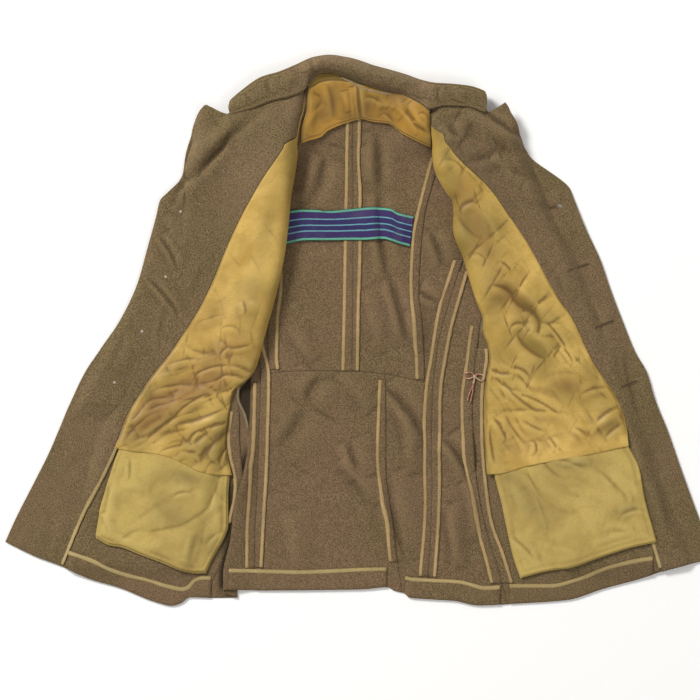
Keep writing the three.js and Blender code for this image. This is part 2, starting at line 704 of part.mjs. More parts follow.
// Back skirts below the waist, which meet at the vent
function buildSkirts() {
  const top = moved(WAIST, -0.4);
  const [sideR, ventR] = [moved(SIDE_SEAM_R, SEAM), moved(VENT, -SEAM)];
  const [ventL, sideL] = [moved(VENT, SEAM), moved(SIDE_SEAM_L, -SEAM)];
  const right = levelPanel(sideR, ventR, HEM_BACK, top, STATIONS_R, ticks(5));
  const left = levelPanel(ventL, sideL, HEM_L, top, STATIONS_L, ticks(3));
  add('skirt_back_r', wall(flatPanel(right.outline, () => 0), right.us, right.vs, WOOL), COLOURS.wool);
  add('skirt_back_l', wall(flatPanel(left.outline, () => 0), left.us, left.vs, WOOL), COLOURS.wool);
}

// Fronts: the outer wool, the facing with its lapel, the lining and what lies along their edges
function buildFront(end, whole, seamTop, hemColumn) {
  const last = whole.rows.length - 1;
  const edge = whole.rows[0].length - 1;
  const over = WOOL + GAP;
  const wool = thicken(whole, WOOL);
  const face = thicken(partOf(whole, FACING_COLUMN, edge, 0, last, SEAM), WOOL, over);
  add(`front_${end}`, end === 'l' ? cutEyelet(wool) : wool, COLOURS.wool);
  add(`facing_${end}`, end === 'l' ? cutEyelet(face) : face, COLOURS.facing);
  const lining = partOf(whole, NEAR_COLUMN, FACING_COLUMN, LINING_ROW, last - 1, SEAM);
  add(`lining_front_${end}`, thicken(lining, LINING, over + 0.15), COLOURS.satin, 0.45);
  const bind = (name, i0, i1, j0, j1, inset, colour) => {
    add(name, thicken(partOf(whole, i0, i1, j0, j1, inset), BINDING, over), colour);
  };
  bind(`facing_tape_${end}`, TAPE_COLUMN, FACING_COLUMN, 0, LINING_ROW, SEAM, COLOURS.binding);
  bind(`hem_front_${end}`, hemColumn, TAPE_COLUMN, 0, TURN_UP_ROW, SEAM, COLOURS.wool);
  bind(`hem_tape_front_${end}`, hemColumn, TAPE_COLUMN, TURN_UP_ROW, TAPE_ROW, SEAM, COLOURS.binding);
  const top = whole.rows.findIndex((row) => row[0].p.y > seamTop) - 1;
  bind(`seam_under_front_${end}`, 0, NEAR_COLUMN, TAPE_ROW, top, 0.4, COLOURS.binding);
}

function cutEyelet(geometry) {
  const hole = new THREE.CylinderGeometry(0.5, 0.5, 60, 12);
  hole.rotateX(Math.PI / 2);
  hole.scale(EYELET.long, EYELET.wide, 1);
  hole.rotateZ(EYELET.turn);
  hole.translate(EYELET.x, EYELET.y, 0);
  return fromManifold(toManifold(geometry).subtract(toManifold(hole)));
}

const NECK_LIFT = WOOL + BINDING + 3 * GAP;

// Lining of the back neck, from the collar down over the shoulder blades
function buildNeck() {
  const left = curve(table('y x', [
    [337, -71.5], [311, -73], [293, -78], [283, -80.5], [258, -81.5],
  ]), 'y', 'x');
  const right = curve(table('y x', [[305, 99.5], [283, 100.5], [256, 103.5]]), 'y', 'x');
  const bottom = curve(table('x y', [
    [-86, 261], [-73, 267], [-53, 272], [-42, 281], [-18, 291], [7, 297], [17, 294], [43, 291], [49, 288],
    [63, 277], [84, 267], [105, 258],
  ]), 'x', 'y');
  const outline = within(left, right, bottom, moved(NECK, -1.4));
  const lining = wall(flatPanel(outline, backHeight), ticks(12), ticks(5), LINING, NECK_LIFT);
  add('lining_neck', lining, COLOURS.satin, 0.45);
}

// Collar, rolled over at the back of the neck and spread at its two ends
const COLLAR_ROWS = table('t ix iy ox oy seat h tuck', [
  [0, -179, 304, -183, 317, 16, 17, 0],
  [1, -151, 311, -161, 336, 17, 19, 0],
  [2, -122, 322, -134, 354, 18, 22, 2],
  [3, -95, 328.5, -110, 361, 18, 26, 6],
  [4, -75, 338.5, -85, 372, 17, 30, 10],
  [5, -63, 358.5, -62, 382, 15, 34, 14],
  [6, -44, 363.5, -40, 385, 15, 36, 16],
  [7, -13, 356.5, -12, 381, 15, 37, 16],
  [8, 20, 343.5, 26, 369, 16, 37, 16],
  [9, 59, 334.5, 66, 358, 18, 36, 14],
  [10, 84, 322.5, 88, 350, 20, 33, 10],
  [11, 101, 311, 110, 345, 20, 28, 6],
  [12, 122, 315.5, 128, 344, 19, 24, 2],
  [13, 150, 314.5, 156, 341, 17, 20, 0],
  [14, 178, 306, 182, 332, 15, 16, 0],
]);

function collarSection(row) {
  const depth = Math.hypot(row.ox - row.ix, row.oy - row.iy);
  const low = 1.5 + row.tuck * 0.1;
  return table('d z', [
    [0, row.seat], [0.18 * depth, lerp(row.seat, row.h, 0.75)], [0.5 * depth, row.h],
    [0.82 * depth, 0.8 * row.h], [depth, 0.5 * row.h], [depth - 0.12 * row.tuck, 0.2 * row.h + 1],
    [depth - 0.2 * row.tuck - row.tuck * 0.8, low],
  ]);
}

function buildCollar() {
  const names = ['ix', 'iy', 'ox', 'oy', 'seat', 'h', 'tuck'];
  const curves = Object.fromEntries(names.map((name) => [name, curve(COLLAR_ROWS, 't', name)]));
  const surface = (u, v) => {
    const row = Object.fromEntries(names.map((name) => [name, curves[name](u * 14)]));
    const depth = Math.hypot(row.ox - row.ix, row.oy - row.iy);
    const knots = collarSection(row).map((k, i) => ({ ...k, i }));
    const at = v * (knots.length - 1);
    const d = curve(knots, 'i', 'd')(at);
    const z = curve(knots, 'i', 'z')(at);
    return new THREE.Vector3(lerp(row.ix, row.ox, d / depth), lerp(row.iy, row.oy, d / depth), z);
  };
  add('collar', wall(surface, ticks(24), ticks(8), COLLAR, -COLLAR / 2), COLOURS.facing);
}

// Turn-up of the back hem, a strip of the wool folded up inside, with its bound edge
function buildHem() {
  const strip = (name, from, to, hem, top, height, columns) => {
    const laid = (lower, upper) => {
      const outline = within(level(from), level(to), lower, upper);
      return wall(flatPanel(outline, height), ticks(columns), ticks(1), BINDING, WOOL + GAP);
    };
    const half = TAPE_WIDTH / 2;
    add(`hem_${name}`, laid(moved(hem, 0.2), moved(top, -half - SEAM)), COLOURS.wool);
    add(`hem_tape_${name}`, laid(moved(top, -half), moved(top, half)), COLOURS.binding);
  };
  const back = (x, y) => (x < SIDE_SEAM_R(y) ? topLeafHeight(x, y) : 0);
  strip('back_r', -181, 40, HEM_BACK, TURN_UP_BACK, back, 12);
  strip('back_l', 66, 199, HEM_L, TURN_UP_L, () => 0, 8);
}

// A bound seam allowance lying on a panel, from beside the seam to the far side of its tape
function allowance(name, seam, tape, g, yFrom, yTo, height, rows = 12) {
  const near = (y) => seam(y) + g * 0.6;
  const far = (y) => tape(y) + g * (TAPE_WIDTH / 2);
  const outline = within(near, far, level(yFrom), level(yTo));
  const strip = wall(flatPanel(outline, height), ticks(1), ticks(rows), BINDING, WOOL + GAP);
  add(name, strip, COLOURS.binding);
}

function buildSeams() {
  const flat = () => 0;
  const tapes = {
    sideBackR: curve(table('y x', [
      [100, -108], [65, -108], [15, -113], [-36, -114], [-56, -112],
    ]), 'y', 'x'),
    sideBackL: curve(table('y x', [
      [250, 106], [225, 99], [183, 88], [161, 82.6], [132, 77], [61, 74], [12, 78], [-40, 82],
      [-69, 82.6],
    ]), 'y', 'x'),
    sideBodyR: curve(table('y x', [
      [-20, -134], [-62, -125], [-107, -125.5], [-208, -129], [-240, -131], [-332, -136],
    ]), 'y', 'x'),
    sideBodyL: curve(table('y x', [
      [129, 144], [83, 130], [37, 115], [1, 108], [-40, 102], [-75, 96], [-110, 93], [-180, 93],
      [-234, 94], [-344, 87],
    ]), 'y', 'x'),
    sideFrontL: curve(table('y x', [
      [86, 153], [45, 141], [5, 130], [-37, 122], [-75, 116], [-110, 114], [-202, 114], [-249, 113],
      [-344, 107],
    ]), 'y', 'x'),
    underBackL: curve(table('y x', [
      [36, 166], [5, 159], [-43, 152.5], [-97, 145.6], [-145, 146.7], [-188, 151], [-237, 160.6],
      [-283, 169.4], [-318, 179], [-353, 187.6],
    ]), 'y', 'x'),
  };
  allowance('seam_side_back_r', SIDE_BACK_R, tapes.sideBackR, 1, -53, 168, flat, 9);
  allowance('seam_side_back_l', SIDE_BACK_L, tapes.sideBackL, -1, -67, 206, flat, 12);
  allowance('seam_side_body_r', SIDE_SEAM_R, tapes.sideBodyR, 1, -330, 8, flat);
  allowance('seam_side_body_l', SIDE_SEAM_L, tapes.sideBodyL, -1, -342, 100, flat);
  allowance('seam_side_front_l', SIDE_SEAM_L, tapes.sideFrontL, 1, -343, 84, flat);
  allowance('seam_under_back_l', UNDERARM_SEAM_L, tapes.underBackL, -1, -352, 8, flat);
}

// Bound edge of the vent
function buildVent() {
  const tape = curve(table('y x', [
    [-62, 31], [-104, 29.4], [-174, 27], [-234, 33], [-272, 41], [-316, 45],
  ]), 'y', 'x');
  const vent = within(moved(tape, -TAPE_WIDTH / 2), moved(VENT, -0.6), level(-322), level(-68));
  const strip = wall(flatPanel(vent, () => 0), ticks(1), ticks(10), BINDING, WOOL + GAP);
  add('vent_binding', strip, COLOURS.binding);
}

// Pocket bags of drill, two leaves each, hanging inside below the linings
function buildBags() {
  const bag = (s, end, left, right, bottom, top, slip) => {
    const height = (x, y) => frontHeight(s, x, y);
    const upper = within(left, right, bottom, top);
    const [sideA, sideB] = [moved(left, slip.left), moved(right, slip.right)];
    const under = within(sideA, sideB, moved(bottom, slip.bottom), top);
    const leaf = (outline, lift) => wall(flatPanel(outline, height), ticks(5), ticks(5), LINING, lift);
    const lift = 2 * WOOL + 3 * GAP;
    const above = lift + LINING + 3 * GAP;
    add(`pocket_under_${end}`, leaf(under, lift), COLOURS.pocketing);
    add(`pocket_upper_${end}`, leaf(upper, above), COLOURS.pocketing);
  };
  const r = {
    left: curve(table('y x', [
      [-162, -333], [-191, -344], [-223, -353], [-251, -361], [-285, -367],
    ]), 'y', 'x'),
    right: curve(table('y x', [
      [-199, -182], [-232, -184], [-272, -184], [-285, -188], [-320, -207], [-335, -214],
    ]), 'y', 'x'),
    bottom: curve(table('x y', [
      [-367, -285], [-347, -296], [-333, -298], [-302, -310], [-277, -319], [-245, -331],
      [-228, -335.5], [-213, -335],
    ]), 'x', 'y'),
    top: curve(table('x y', [
      [-343, -160.5], [-325, -165], [-277, -171], [-245, -183], [-214, -197], [-178, -200],
    ]), 'x', 'y'),
  };
  bag(RIGHT, 'r', r.left, r.right, r.bottom, r.top, { left: 1, right: 2.5, bottom: -3 });
  const l = {
    left: curve(table('y x', [
      [-198, 191], [-240, 202], [-279, 210], [-314, 218], [-343, 228],
    ]), 'y', 'x'),
    right: curve(table('y x', [
      [-160, 377], [-191, 392], [-234, 400], [-271, 410], [-293, 416],
    ]), 'y', 'x'),
    bottom: curve(table('x y', [
      [228, -343], [257, -335], [300, -327], [347, -311], [386, -299], [416, -293],
    ]), 'x', 'y'),
    top: curve(table('x y', [
      [179, -199], [192, -198.5], [241, -186], [339, -168], [379, -158],
    ]), 'x', 'y'),
  };
  bag(LEFT, 'l', l.left, l.right, l.bottom, l.top, { left: -1.5, right: 1, bottom: -2 });
}

// Sleeves: flattened tubes of wool beneath the fronts, open at armhole and cuff
function buildSleeve(s, name) {
  const around = 12;
  const ys = ticks(8).map((t) => lerp(262, -284, t));
  const ring = (y, inset) => {
    const half = Math.abs(s.sleeveOut(y) - s.sleeveIn(y)) / 2 - inset;
    const mid = (s.sleeveOut(y) + s.sleeveIn(y)) / 2;
    const tall = Math.min(SLEEVE_HEIGHT, Math.max(5.5, s.sleeveHeight(y))) / 2;
    return Array.from({ length: around }, (_, k) => {
      const a = (k / around) * 2 * Math.PI;
      const flat = (value, power) => Math.sign(value) * Math.abs(value) ** power;
      const x = mid + half * flat(Math.cos(a), 0.7);
      return [x, y, tall + (tall - inset) * flat(Math.sin(a), 0.3)];
    });
  };
  const outer = ys.map((y) => ring(y, 0));
  const inner = ys.map((y) => ring(y, WOOL));
  const positions = [...outer.flat(), ...inner.flat()].flat();
  const size = ys.length * around;
  const index = [];
  const quad = (a, b, c, d) => index.push(a, b, c, a, c, d);
  for (let j = 0; j < ys.length - 1; j += 1) {
    for (let k = 0; k < around; k += 1) {
      const a = j * around + k;
      const b = j * around + ((k + 1) % around);
      quad(a, b, b + around, a + around);
      quad(size + a, size + a + around, size + b + around, size + b);
    }
  }
  const last = (ys.length - 1) * around;
  for (let k = 0; k < around; k += 1) {
    const n = (k + 1) % around;
    quad(n, k, size + k, size + n);
    quad(last + k, last + n, size + last + n, size + last + k);
  }
  add(name, solid(positions, index), COLOURS.wool);
}

// Buttons: low domes beneath the right front
function buildButtons() {
  const profile = table('r z', [
    [0, 0.3], [0.7, 0], [0.97, 1.6], [1, 2.6], [0.9, 4], [0.35, 5], [0.3, BUTTON_HEIGHT], [0, BUTTON_HEIGHT],
  ]);
  const points = profile.map((p) => new THREE.Vector2(p.r * BUTTON_RADIUS, p.z));
  BUTTONS.forEach((b, i) => {
    const button = new THREE.LatheGeometry(points, 12);
    button.rotateX(Math.PI / 2);
    button.translate(b.x, b.y, 0);
    add(`button_${i + 1}`, button, COLOURS.button, 0.4, 0.8);
  });
}

// Striped ribbon sewn across the upper back
function buildRibbon() {
  const top = curve(table('x y', [
    [-104, 167], [-78, 171], [-38, 170], [4, 173], [28, 174], [45, 172], [55, 166], [80, 161],
  ]), 'x', 'y');
  const bottom = curve(table('x y', [
    [-104, 122], [-73, 127], [8, 127.5], [38, 129], [48, 126], [56, 122.5], [73, 118],
  ]), 'x', 'y');
  const right = curve(table('y x', [[161, 77.5], [118, 72]]), 'y', 'x');
  const outline = within(() => -103, right, bottom, top);
  const lift = WOOL + 2 * GAP + BINDING;
  const band = wall(flatPanel(outline, () => 0), ticks(8), ticks(2), LINING, lift);
  add('ribbon_band', band, COLOURS.ribbon, 0.6);
}

// Hanger loop: a flat strip lying on the neck lining just below the collar
function buildHanger() {
  const run = curve(table('x y', [[-24, 356], [-8, 348], [10, 339], [48, 331.5]]), 'x', 'y');
  const outline = within(() => -24, () => 48, moved(run, -3), moved(run, 1));
  const lift = NECK_LIFT + LINING + 2 * GAP;
  const strip = wall(flatPanel(outline, backHeight), ticks(7), ticks(1), LINING, lift);
  add('hanger_loop', strip, COLOURS.webbing);
}

// Thread tie between the two tapes of the left underarm seam: a knot, two loops and two tails
function buildTie() {
  const z = 5.4;
  const radius = 0.95;
  const knot = [163, -63];
  const paths = [
    [knot, [158, -57.5], [150, -58.5], [149, -63], [154, -66], [162.5, -63.5]],
    [knot, [168, -59.5], [174, -61], [176.5, -65], [172, -69], [163.5, -63.5]],
    [knot, [162, -72], [158, -81], [155, -89], [153.5, -95]],
    [knot, [160.5, -72], [160, -82], [158.5, -90], [156.5, -97]],
  ];
  const section = new THREE.Shape().absarc(0, 0, radius, 0, 2 * Math.PI);
  const strands = paths.map((path, i) => {
    const points = path.map(([x, y]) => new THREE.Vector3(x, y, z + GAP * (i % 2)));
    const extrudePath = new THREE.CatmullRomCurve3(points);
    const made = new THREE.ExtrudeGeometry(section, { steps: 8, curveSegments: 6, extrudePath });
    return toManifold(made);
  });
  const bead = new THREE.IcosahedronGeometry(2.2, 1);
  bead.translate(knot[0], knot[1], z);
  add('thread_tie', fromManifold(Manifold.union([...strands, toManifold(bead)])), COLOURS.cord, 0.8);
}

buildBack();
buildSideBack();
buildSides();
buildSkirts();
buildFront('r', NET_R, -110, NEAR_COLUMN);
buildFront('l', NET_L, -18, 0);
buildNeck();
buildCollar();
buildHem();
buildSeams();
buildVent();
buildBags();
buildSleeve(RIGHT, 'sleeve_r');
buildSleeve(LEFT, 'sleeve_l');
buildButtons();
buildRibbon();
buildHanger();
buildTie();

export default group;
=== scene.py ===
# %% [markdown]
# # An officer's service jacket, laid open with its inside up
#
# The coat lies on its back on a pale table. Its two fronts are folded outwards, so that we look
# at the wool facings, the gold satin linings, the pocket bags and the bare inside of the back
# with its bound seams. Every piece of cloth is rebuilt here as a thin shell with creases, on the
# form that the plain solids of the frame already have.

import math

import bpy
import mathutils
import numpy as np
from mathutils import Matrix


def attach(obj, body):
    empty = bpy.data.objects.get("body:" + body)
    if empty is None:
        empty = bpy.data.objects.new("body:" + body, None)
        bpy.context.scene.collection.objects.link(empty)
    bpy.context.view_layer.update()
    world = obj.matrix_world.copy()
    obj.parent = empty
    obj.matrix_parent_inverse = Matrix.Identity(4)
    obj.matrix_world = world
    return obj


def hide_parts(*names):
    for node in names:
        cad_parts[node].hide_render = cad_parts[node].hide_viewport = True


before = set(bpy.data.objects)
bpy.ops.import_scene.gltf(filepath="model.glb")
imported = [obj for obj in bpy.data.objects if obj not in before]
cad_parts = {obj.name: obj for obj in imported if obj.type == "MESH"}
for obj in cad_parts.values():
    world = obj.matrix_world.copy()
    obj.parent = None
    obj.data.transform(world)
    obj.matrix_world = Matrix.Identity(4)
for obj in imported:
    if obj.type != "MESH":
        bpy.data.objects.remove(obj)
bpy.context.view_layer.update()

# %% [markdown]
# ## Sizes
#
# All shapes are worked out in millimetres on the table, with +Y towards the collar and +Z up,
# and turned into metres when they become meshes. The table's zero lies near the middle of the
# back; MIDDLE moves the spread coat's own middle to the origin, as in the frame.

# %% Driving sizes, in millimetres
MM = 0.001
MIDDLE = np.array([2.2445, 0.9035, 0.0])
WOOL = 1.5
LINING = 1.0
BINDING = 1.2
COLLAR = 2.4
GAP = 0.3
SEAM = 0.06
TAPE_WIDTH = 5.4
BUTTON_RADIUS = 12.0
BUTTON_HEIGHT = 6.0
EYELET = dict(x=283.0, y=176.0, long=6.5, wide=4.6, turn=0.244)

# %% [markdown]
# ## Curves through a few measured points
#
# A seam is a curve x(y) through a handful of measured points. A monotone cubic never swings past
# the points it goes through, which keeps a nearly straight seam straight.

# %% Curves, blends and smooth steps
def lerp(a, b, t):
    """a + (b - a) t."""
    return a + (b - a) * t


def smooth(t):
    """The smooth step 3t^2 - 2t^3, level outside 0..1."""
    t = np.clip(t, 0.0, 1.0)
    return t * t * (3.0 - 2.0 * t)


def slopes(knots, values):
    """Harmonic mean of the two neighbouring slopes, or zero where they turn."""
    step = np.diff(values, axis=0) / np.diff(knots).reshape(-1, *[1] * (values.ndim - 1))
    a, b = step[:-1], step[1:]
    total = np.where(a + b == 0, 1.0, a + b)
    inner = np.where(a * b > 0, 2.0 * a * b / total, 0.0)
    return np.concatenate([step[:1], inner, step[-1:]])


def hermite(f0, f1, m0, m1, w, t):
    """Cubic from f0 to f1 over a width w with end slopes m0 and m1."""
    s = 1.0 - t
    return f0 * (1 + 2 * t) * s * s + f1 * t * t * (3 - 2 * t) + w * s * t * (m0 * s - m1 * t)


def curve(rows, key=0, value=1):
    """Monotone cubic through rows (key, value), carried on straight past both ends."""
    knots, values = np.array(sorted((row[key], row[value]) for row in rows), float).T
    slope = slopes(knots, values)

    def at(x):
        """Value at x, from the cubic between its two knots."""
        x = np.asarray(x, float)
        n = np.clip(np.searchsorted(knots, x) - 1, 0, len(knots) - 2)
        w = knots[n + 1] - knots[n]
        t = (x - knots[n]) / w
        inside = np.clip(t, 0.0, 1.0)
        y = hermite(values[n], values[n + 1], slope[n], slope[n + 1], w, inside)
        y = y + np.where(t < 0, slope[n] * w * t, 0.0)
        return y + np.where(t > 1, slope[n + 1] * w * (t - 1.0), 0.0)

    return at


def moved(f, by):
    """The curve f shifted by a distance."""
    return lambda t: f(t) + by


def level(value):
    """A curve that stays at one value."""
    return lambda t: np.full_like(np.asarray(t, float), value)


# %% [markdown]
# ## Panels between four seams
#
# A panel of cloth is bounded by two side seams x(y) and two ends y(x). The point at (u, v) lies
# the share u of the way across at its own height and the share v of the way up at its own x.
# Each depends on the other, so some rounds of correcting one by the other settle the place.

# %% A grid of points within four curves
def unit_grid(across, along):
    """u and v from 0 to 1 on a grid of (along + 1) rows by (across + 1) columns."""
    return np.meshgrid(np.linspace(0, 1, across + 1), np.linspace(0, 1, along + 1))


def within(left, right, bottom, top, u, v):
    """x = lerp(left(y), right(y), u) and y = lerp(bottom(x), top(x), v), solved together."""
    start = lerp(left(0.0), right(0.0), u)
    y = lerp(bottom(start), top(start), v)
    for _ in range(14):
        x = lerp(left(y), right(y), u)
        y = lerp(y, lerp(bottom(x), top(x), v), 0.8)
    return x, y


# %% [markdown]
# ## Creases
#
# Cloth that has been folded, worn and laid out again keeps soft ridges and troughs. Each one is
# a line on the table with a height, a width and a bow. Its cross-section is a bell, soft for
# wool and nearly pointed for satin; a trough is a narrow bell taken from a wide one, so the
# cloth never sinks through what lies beneath it.

# %% Relief of a set of creases
def creases(x, y, rows, sharp=False):
    """Sum of height * bell across each line, faded to nothing at both of its ends.

    rows hold x1 y1 x2 y2 height width bow. A soft bell is exp(-(away / width)^2); a sharp one is
    exp(-1.25 sqrt((away / width)^2 + 0.03)), which comes almost to a point. A negative height
    makes a trough: a soft bell of 2.3 times the width, less the narrow one. Bells are steeper
    on one side.
    """
    z = np.zeros_like(x)
    for x1, y1, x2, y2, height, width, bow in rows:
        length = math.hypot(x2 - x1, y2 - y1)
        cx, cy = (x2 - x1) / length, (y2 - y1) / length
        t = ((x - x1) * cx + (y - y1) * cy) / length
        away = (y - y1) * cx - (x - x1) * cy - bow * 4.0 * t * (1.0 - t)
        fade = np.sin(np.pi * np.clip(t, 0.0, 1.0)) ** 0.8
        wide = np.where(away > 0, 1.25 * width, 0.75 * width)
        off = (away / wide) ** 2
        bell = np.exp(-1.25 * np.sqrt(off + 0.03)) if sharp else np.exp(-off)
        if height < 0:
            bell = bell - np.exp(-((away / (2.3 * wide)) ** 2))
        z += height * bell * fade
    return z


def scattered(seed, count, box, heading, spread, length, height, width):
    """A seeded handful of small creases: places in a box, headings about one direction."""
    rng = np.random.default_rng(seed)
    x = rng.uniform(box[0], box[1], count)
    y = rng.uniform(box[2], box[3], count)
    a = np.radians(heading + spread * rng.standard_normal(count))
    half = 0.5 * rng.uniform(*length, count)
    h = rng.uniform(*height, count) * rng.choice([1.0, -1.0], count)
    w = rng.uniform(*width, count)
    bow = rng.uniform(-0.12, 0.12, count) * 2 * half
    dx, dy = half * np.cos(a), half * np.sin(a)
    return np.stack([x - dx, y - dy, x + dx, y + dy, h, w, bow], axis=1)


# %% [markdown]
# ## Crumpled cloth
#
# Thin satin crumples into flat facets that meet in sharp lines. A smooth random field passes its
# middle value along wandering lines; the distance from that value is a height that falls to a
# sharp valley on each line. The field is stretched along the direction in which the folds run.

# %% Random field and crumple
def random_field(a, b, seed):
    """Values 0..1 on a square lattice, blended with smooth steps between its four corners."""
    table = np.random.default_rng(seed).random((64, 64))
    i, j = np.floor(a).astype(int), np.floor(b).astype(int)
    s, t = smooth(a - i), smooth(b - j)
    low = lerp(table[i % 64, j % 64], table[(i + 1) % 64, j % 64], s)
    high = lerp(table[i % 64, (j + 1) % 64], table[(i + 1) % 64, (j + 1) % 64], s)
    return lerp(low, high, t)


def crumple(x, y, seed, heading, size, stretch):
    """Height sqrt((2n - 1)^2 + 0.005): sharp valleys where the field n passes its middle."""
    c, s = math.cos(math.radians(heading)), math.sin(math.radians(heading))
    a, b = (x * c + y * s) / (size * stretch) + 20, (y * c - x * s) / size + 20
    b = b + 2.0 * random_field(a * 0.8, b * 0.45, seed + 100)
    n = 0.68 * random_field(a, b, seed) + 0.32 * random_field(2.1 * a, 2.1 * b, seed + 200)
    return np.sqrt((2 * n - 1) ** 2 + 0.005)


# %% [markdown]
# ## From a grid to a piece of cloth
#
# A woven panel is a thin closed wall. Its lower face is the grid, its upper face is the same
# grid raised along the normals, and a ring half way up rounds the cut edge. The wall stays the
# same thickness through every crease. Each vertex also carries how hollow or how raised the
# cloth is there, so that the materials can paint shade into the hollows and a highlight onto
# the crests.

# %% Mesh and shell builders
ROOT = "root"
BEND_GAIN = 13.0
EDGE_INSET = 0.3
sheets = []


def normals_of(points):
    """Unit normals of a grid: the cross product of its two directions."""
    du = np.gradient(points, axis=1)
    dv = np.gradient(points, axis=0)
    n = np.cross(du, dv)
    return n / np.maximum(np.linalg.norm(n, axis=2, keepdims=True), 1e-9)


def arc_lengths(points):
    """Distances along the rows and along the columns of a grid, in millimetres."""
    across = np.linalg.norm(np.diff(points, axis=1), axis=2)
    along = np.linalg.norm(np.diff(points, axis=0), axis=2)
    u = np.concatenate([np.zeros((len(points), 1)), np.cumsum(across, axis=1)], axis=1)
    v = np.concatenate([np.zeros((1, points.shape[1])), np.cumsum(along, axis=0)], axis=0)
    return u, v


def new_mesh(name, vertices, quads, material, fields, uv):
    """A smooth mesh from whole arrays: vertices in millimetres, quads, and values per vertex."""
    data = bpy.data.meshes.new(name)
    data.vertices.add(len(vertices))
    data.vertices.foreach_set("co", ((vertices - MIDDLE) * MM).astype(np.float32).ravel())
    data.loops.add(quads.size)
    data.loops.foreach_set("vertex_index", quads.astype(np.int32).ravel())
    data.polygons.add(len(quads))
    data.polygons.foreach_set("loop_start", np.arange(0, quads.size, 4, dtype=np.int32))
    data.polygons.foreach_set("use_smooth", np.ones(len(quads), bool))
    data.update(calc_edges=True)
    for field, values in fields.items():
        layer = data.attributes.new(field, "FLOAT", "POINT")
        layer.data.foreach_set("value", values.astype(np.float32).ravel())
    if uv is not None:
        layer = data.uv_layers.new(name="cloth")
        layer.data.foreach_set("uv", (uv[quads.ravel()] * MM).astype(np.float32).ravel())
    data.materials.append(material)
    piece = bpy.data.objects.new(name, data)
    bpy.context.collection.objects.link(piece)
    return piece


def ring_quads(rings, around, turned=False):
    """Quads between neighbouring rings of points; turned runs each quad the other way round."""
    here = np.arange(around)
    then = (here + 1) % around
    first = np.arange(rings - 1)[:, None] * around
    corners = [first + here, first + then, first + around + then, first + around + here]
    if turned:
        corners = [corners[0], *corners[:0:-1]]
    return np.stack(corners, axis=-1).reshape(-1, 4)


def ring_of(nv, nu):
    """Indices of a grid's border, once round."""
    index = np.arange(nv * nu).reshape(nv, nu)
    parts = [index[0, :-1], index[:-1, -1], index[-1, :0:-1], index[:0:-1, 0]]
    return np.concatenate(parts)


def drawn_in(points, by):
    """The grid with its border drawn towards the next row or column by a distance."""
    out = points.copy()
    for axis, edge, inner in ((1, 0, 1), (1, -1, -2), (0, 0, 1), (0, -1, -2)):
        a = np.take(points, edge, axis=axis)
        b = np.take(points, inner, axis=axis)
        way = b - a
        size = np.linalg.norm(way, axis=1, keepdims=True)
        step = way * np.minimum(0.45, by / np.maximum(size, 1e-9))
        where = (slice(None), edge) if axis == 1 else (edge, slice(None))
        out[where] += step
    return out


def shell(name, base, material, thickness, lift=0.0, relief=None, fields=None, nodes=()):
    """A closed wall of cloth: base + normal * (lift + relief), and the same raised by thickness.

    base is a grid of points in millimetres. hollow and crest are the relief's curvature times
    BEND_GAIN; the materials paint shade with hollow and a highlight with crest. The border of
    both faces is drawn in by EDGE_INSET of the thickness.
    """
    base = np.asarray(base, float)
    relief = np.zeros(base.shape[:2]) if relief is None else relief
    fields = dict(fields or {})
    normal = normals_of(base)
    if normal[..., 2].mean() < 0:
        base = base[:, ::-1]
        relief = relief[:, ::-1]
        fields = {key: values[:, ::-1] for key, values in fields.items()}
        normal = normals_of(base)
    raised = (lift + relief)[..., None] * normal
    low = base + raised
    high = low + thickness * normal
    u, v = arc_lengths(low)
    du = np.maximum(np.gradient(u, axis=1), 1e-3)
    dv = np.maximum(np.gradient(v, axis=0), 1e-3)
    bend = np.gradient(np.gradient(relief, axis=1) / du, axis=1) / du
    bend += np.gradient(np.gradient(relief, axis=0) / dv, axis=0) / dv
    # hollow carries painted shade and crest a painted highlight.
    fields["hollow"] = np.clip(bend * BEND_GAIN, 0, 1)
    fields["crest"] = np.clip(-bend * BEND_GAIN, 0, 1)
    nv, nu = relief.shape
    ring = ring_of(nv, nu)
    middle = (low + 0.5 * thickness * normal).reshape(-1, 3)[ring]
    inset = EDGE_INSET * thickness
    vertices = np.concatenate([
        drawn_in(high, inset).reshape(-1, 3), drawn_in(low, inset).reshape(-1, 3), middle,
    ])
    size = nv * nu
    index = np.arange(size).reshape(nv, nu)
    a, b, c, d = index[:-1, :-1], index[:-1, 1:], index[1:, 1:], index[1:, :-1]
    upper = np.stack([a, b, c, d], axis=-1).reshape(-1, 4)
    lower = np.stack([a, d, c, b], axis=-1).reshape(-1, 4) + size
    here = np.arange(len(ring))
    then = np.roll(here, -1)
    mid = 2 * size
    side_low = np.stack([ring[here] + size, ring[then] + size, mid + then, mid + here], axis=1)
    side_high = np.stack([mid + here, mid + then, ring[then], ring[here]], axis=1)
    quads = np.concatenate([upper, lower, side_low, side_high])
    flat = np.stack([u.ravel(), v.ravel()], axis=1)
    uv = np.concatenate([flat, flat, flat[ring]])
    spread = {}
    for key, values in fields.items():
        spread[key] = np.concatenate([values.ravel(), values.ravel(), values.ravel()[ring]])
    piece = new_mesh(name, vertices, quads, material, spread, uv)
    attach(piece, ROOT)
    if nodes:
        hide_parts(*nodes)
    sides = np.linalg.norm(np.cross(low[1:, 1:] - low[:-1, :-1], low[1:, :-1] - low[:-1, 1:]), axis=2)
    width, length, area = u.max(), v.max(), 0.5 * sides.sum()
    sheets.append((piece, width * MM, length * MM, area * MM * MM))
    return piece


def raised(x, y, height):
    """A grid of points at a height above the table."""
    return np.stack([x, y, np.broadcast_to(height, x.shape)], axis=-1)
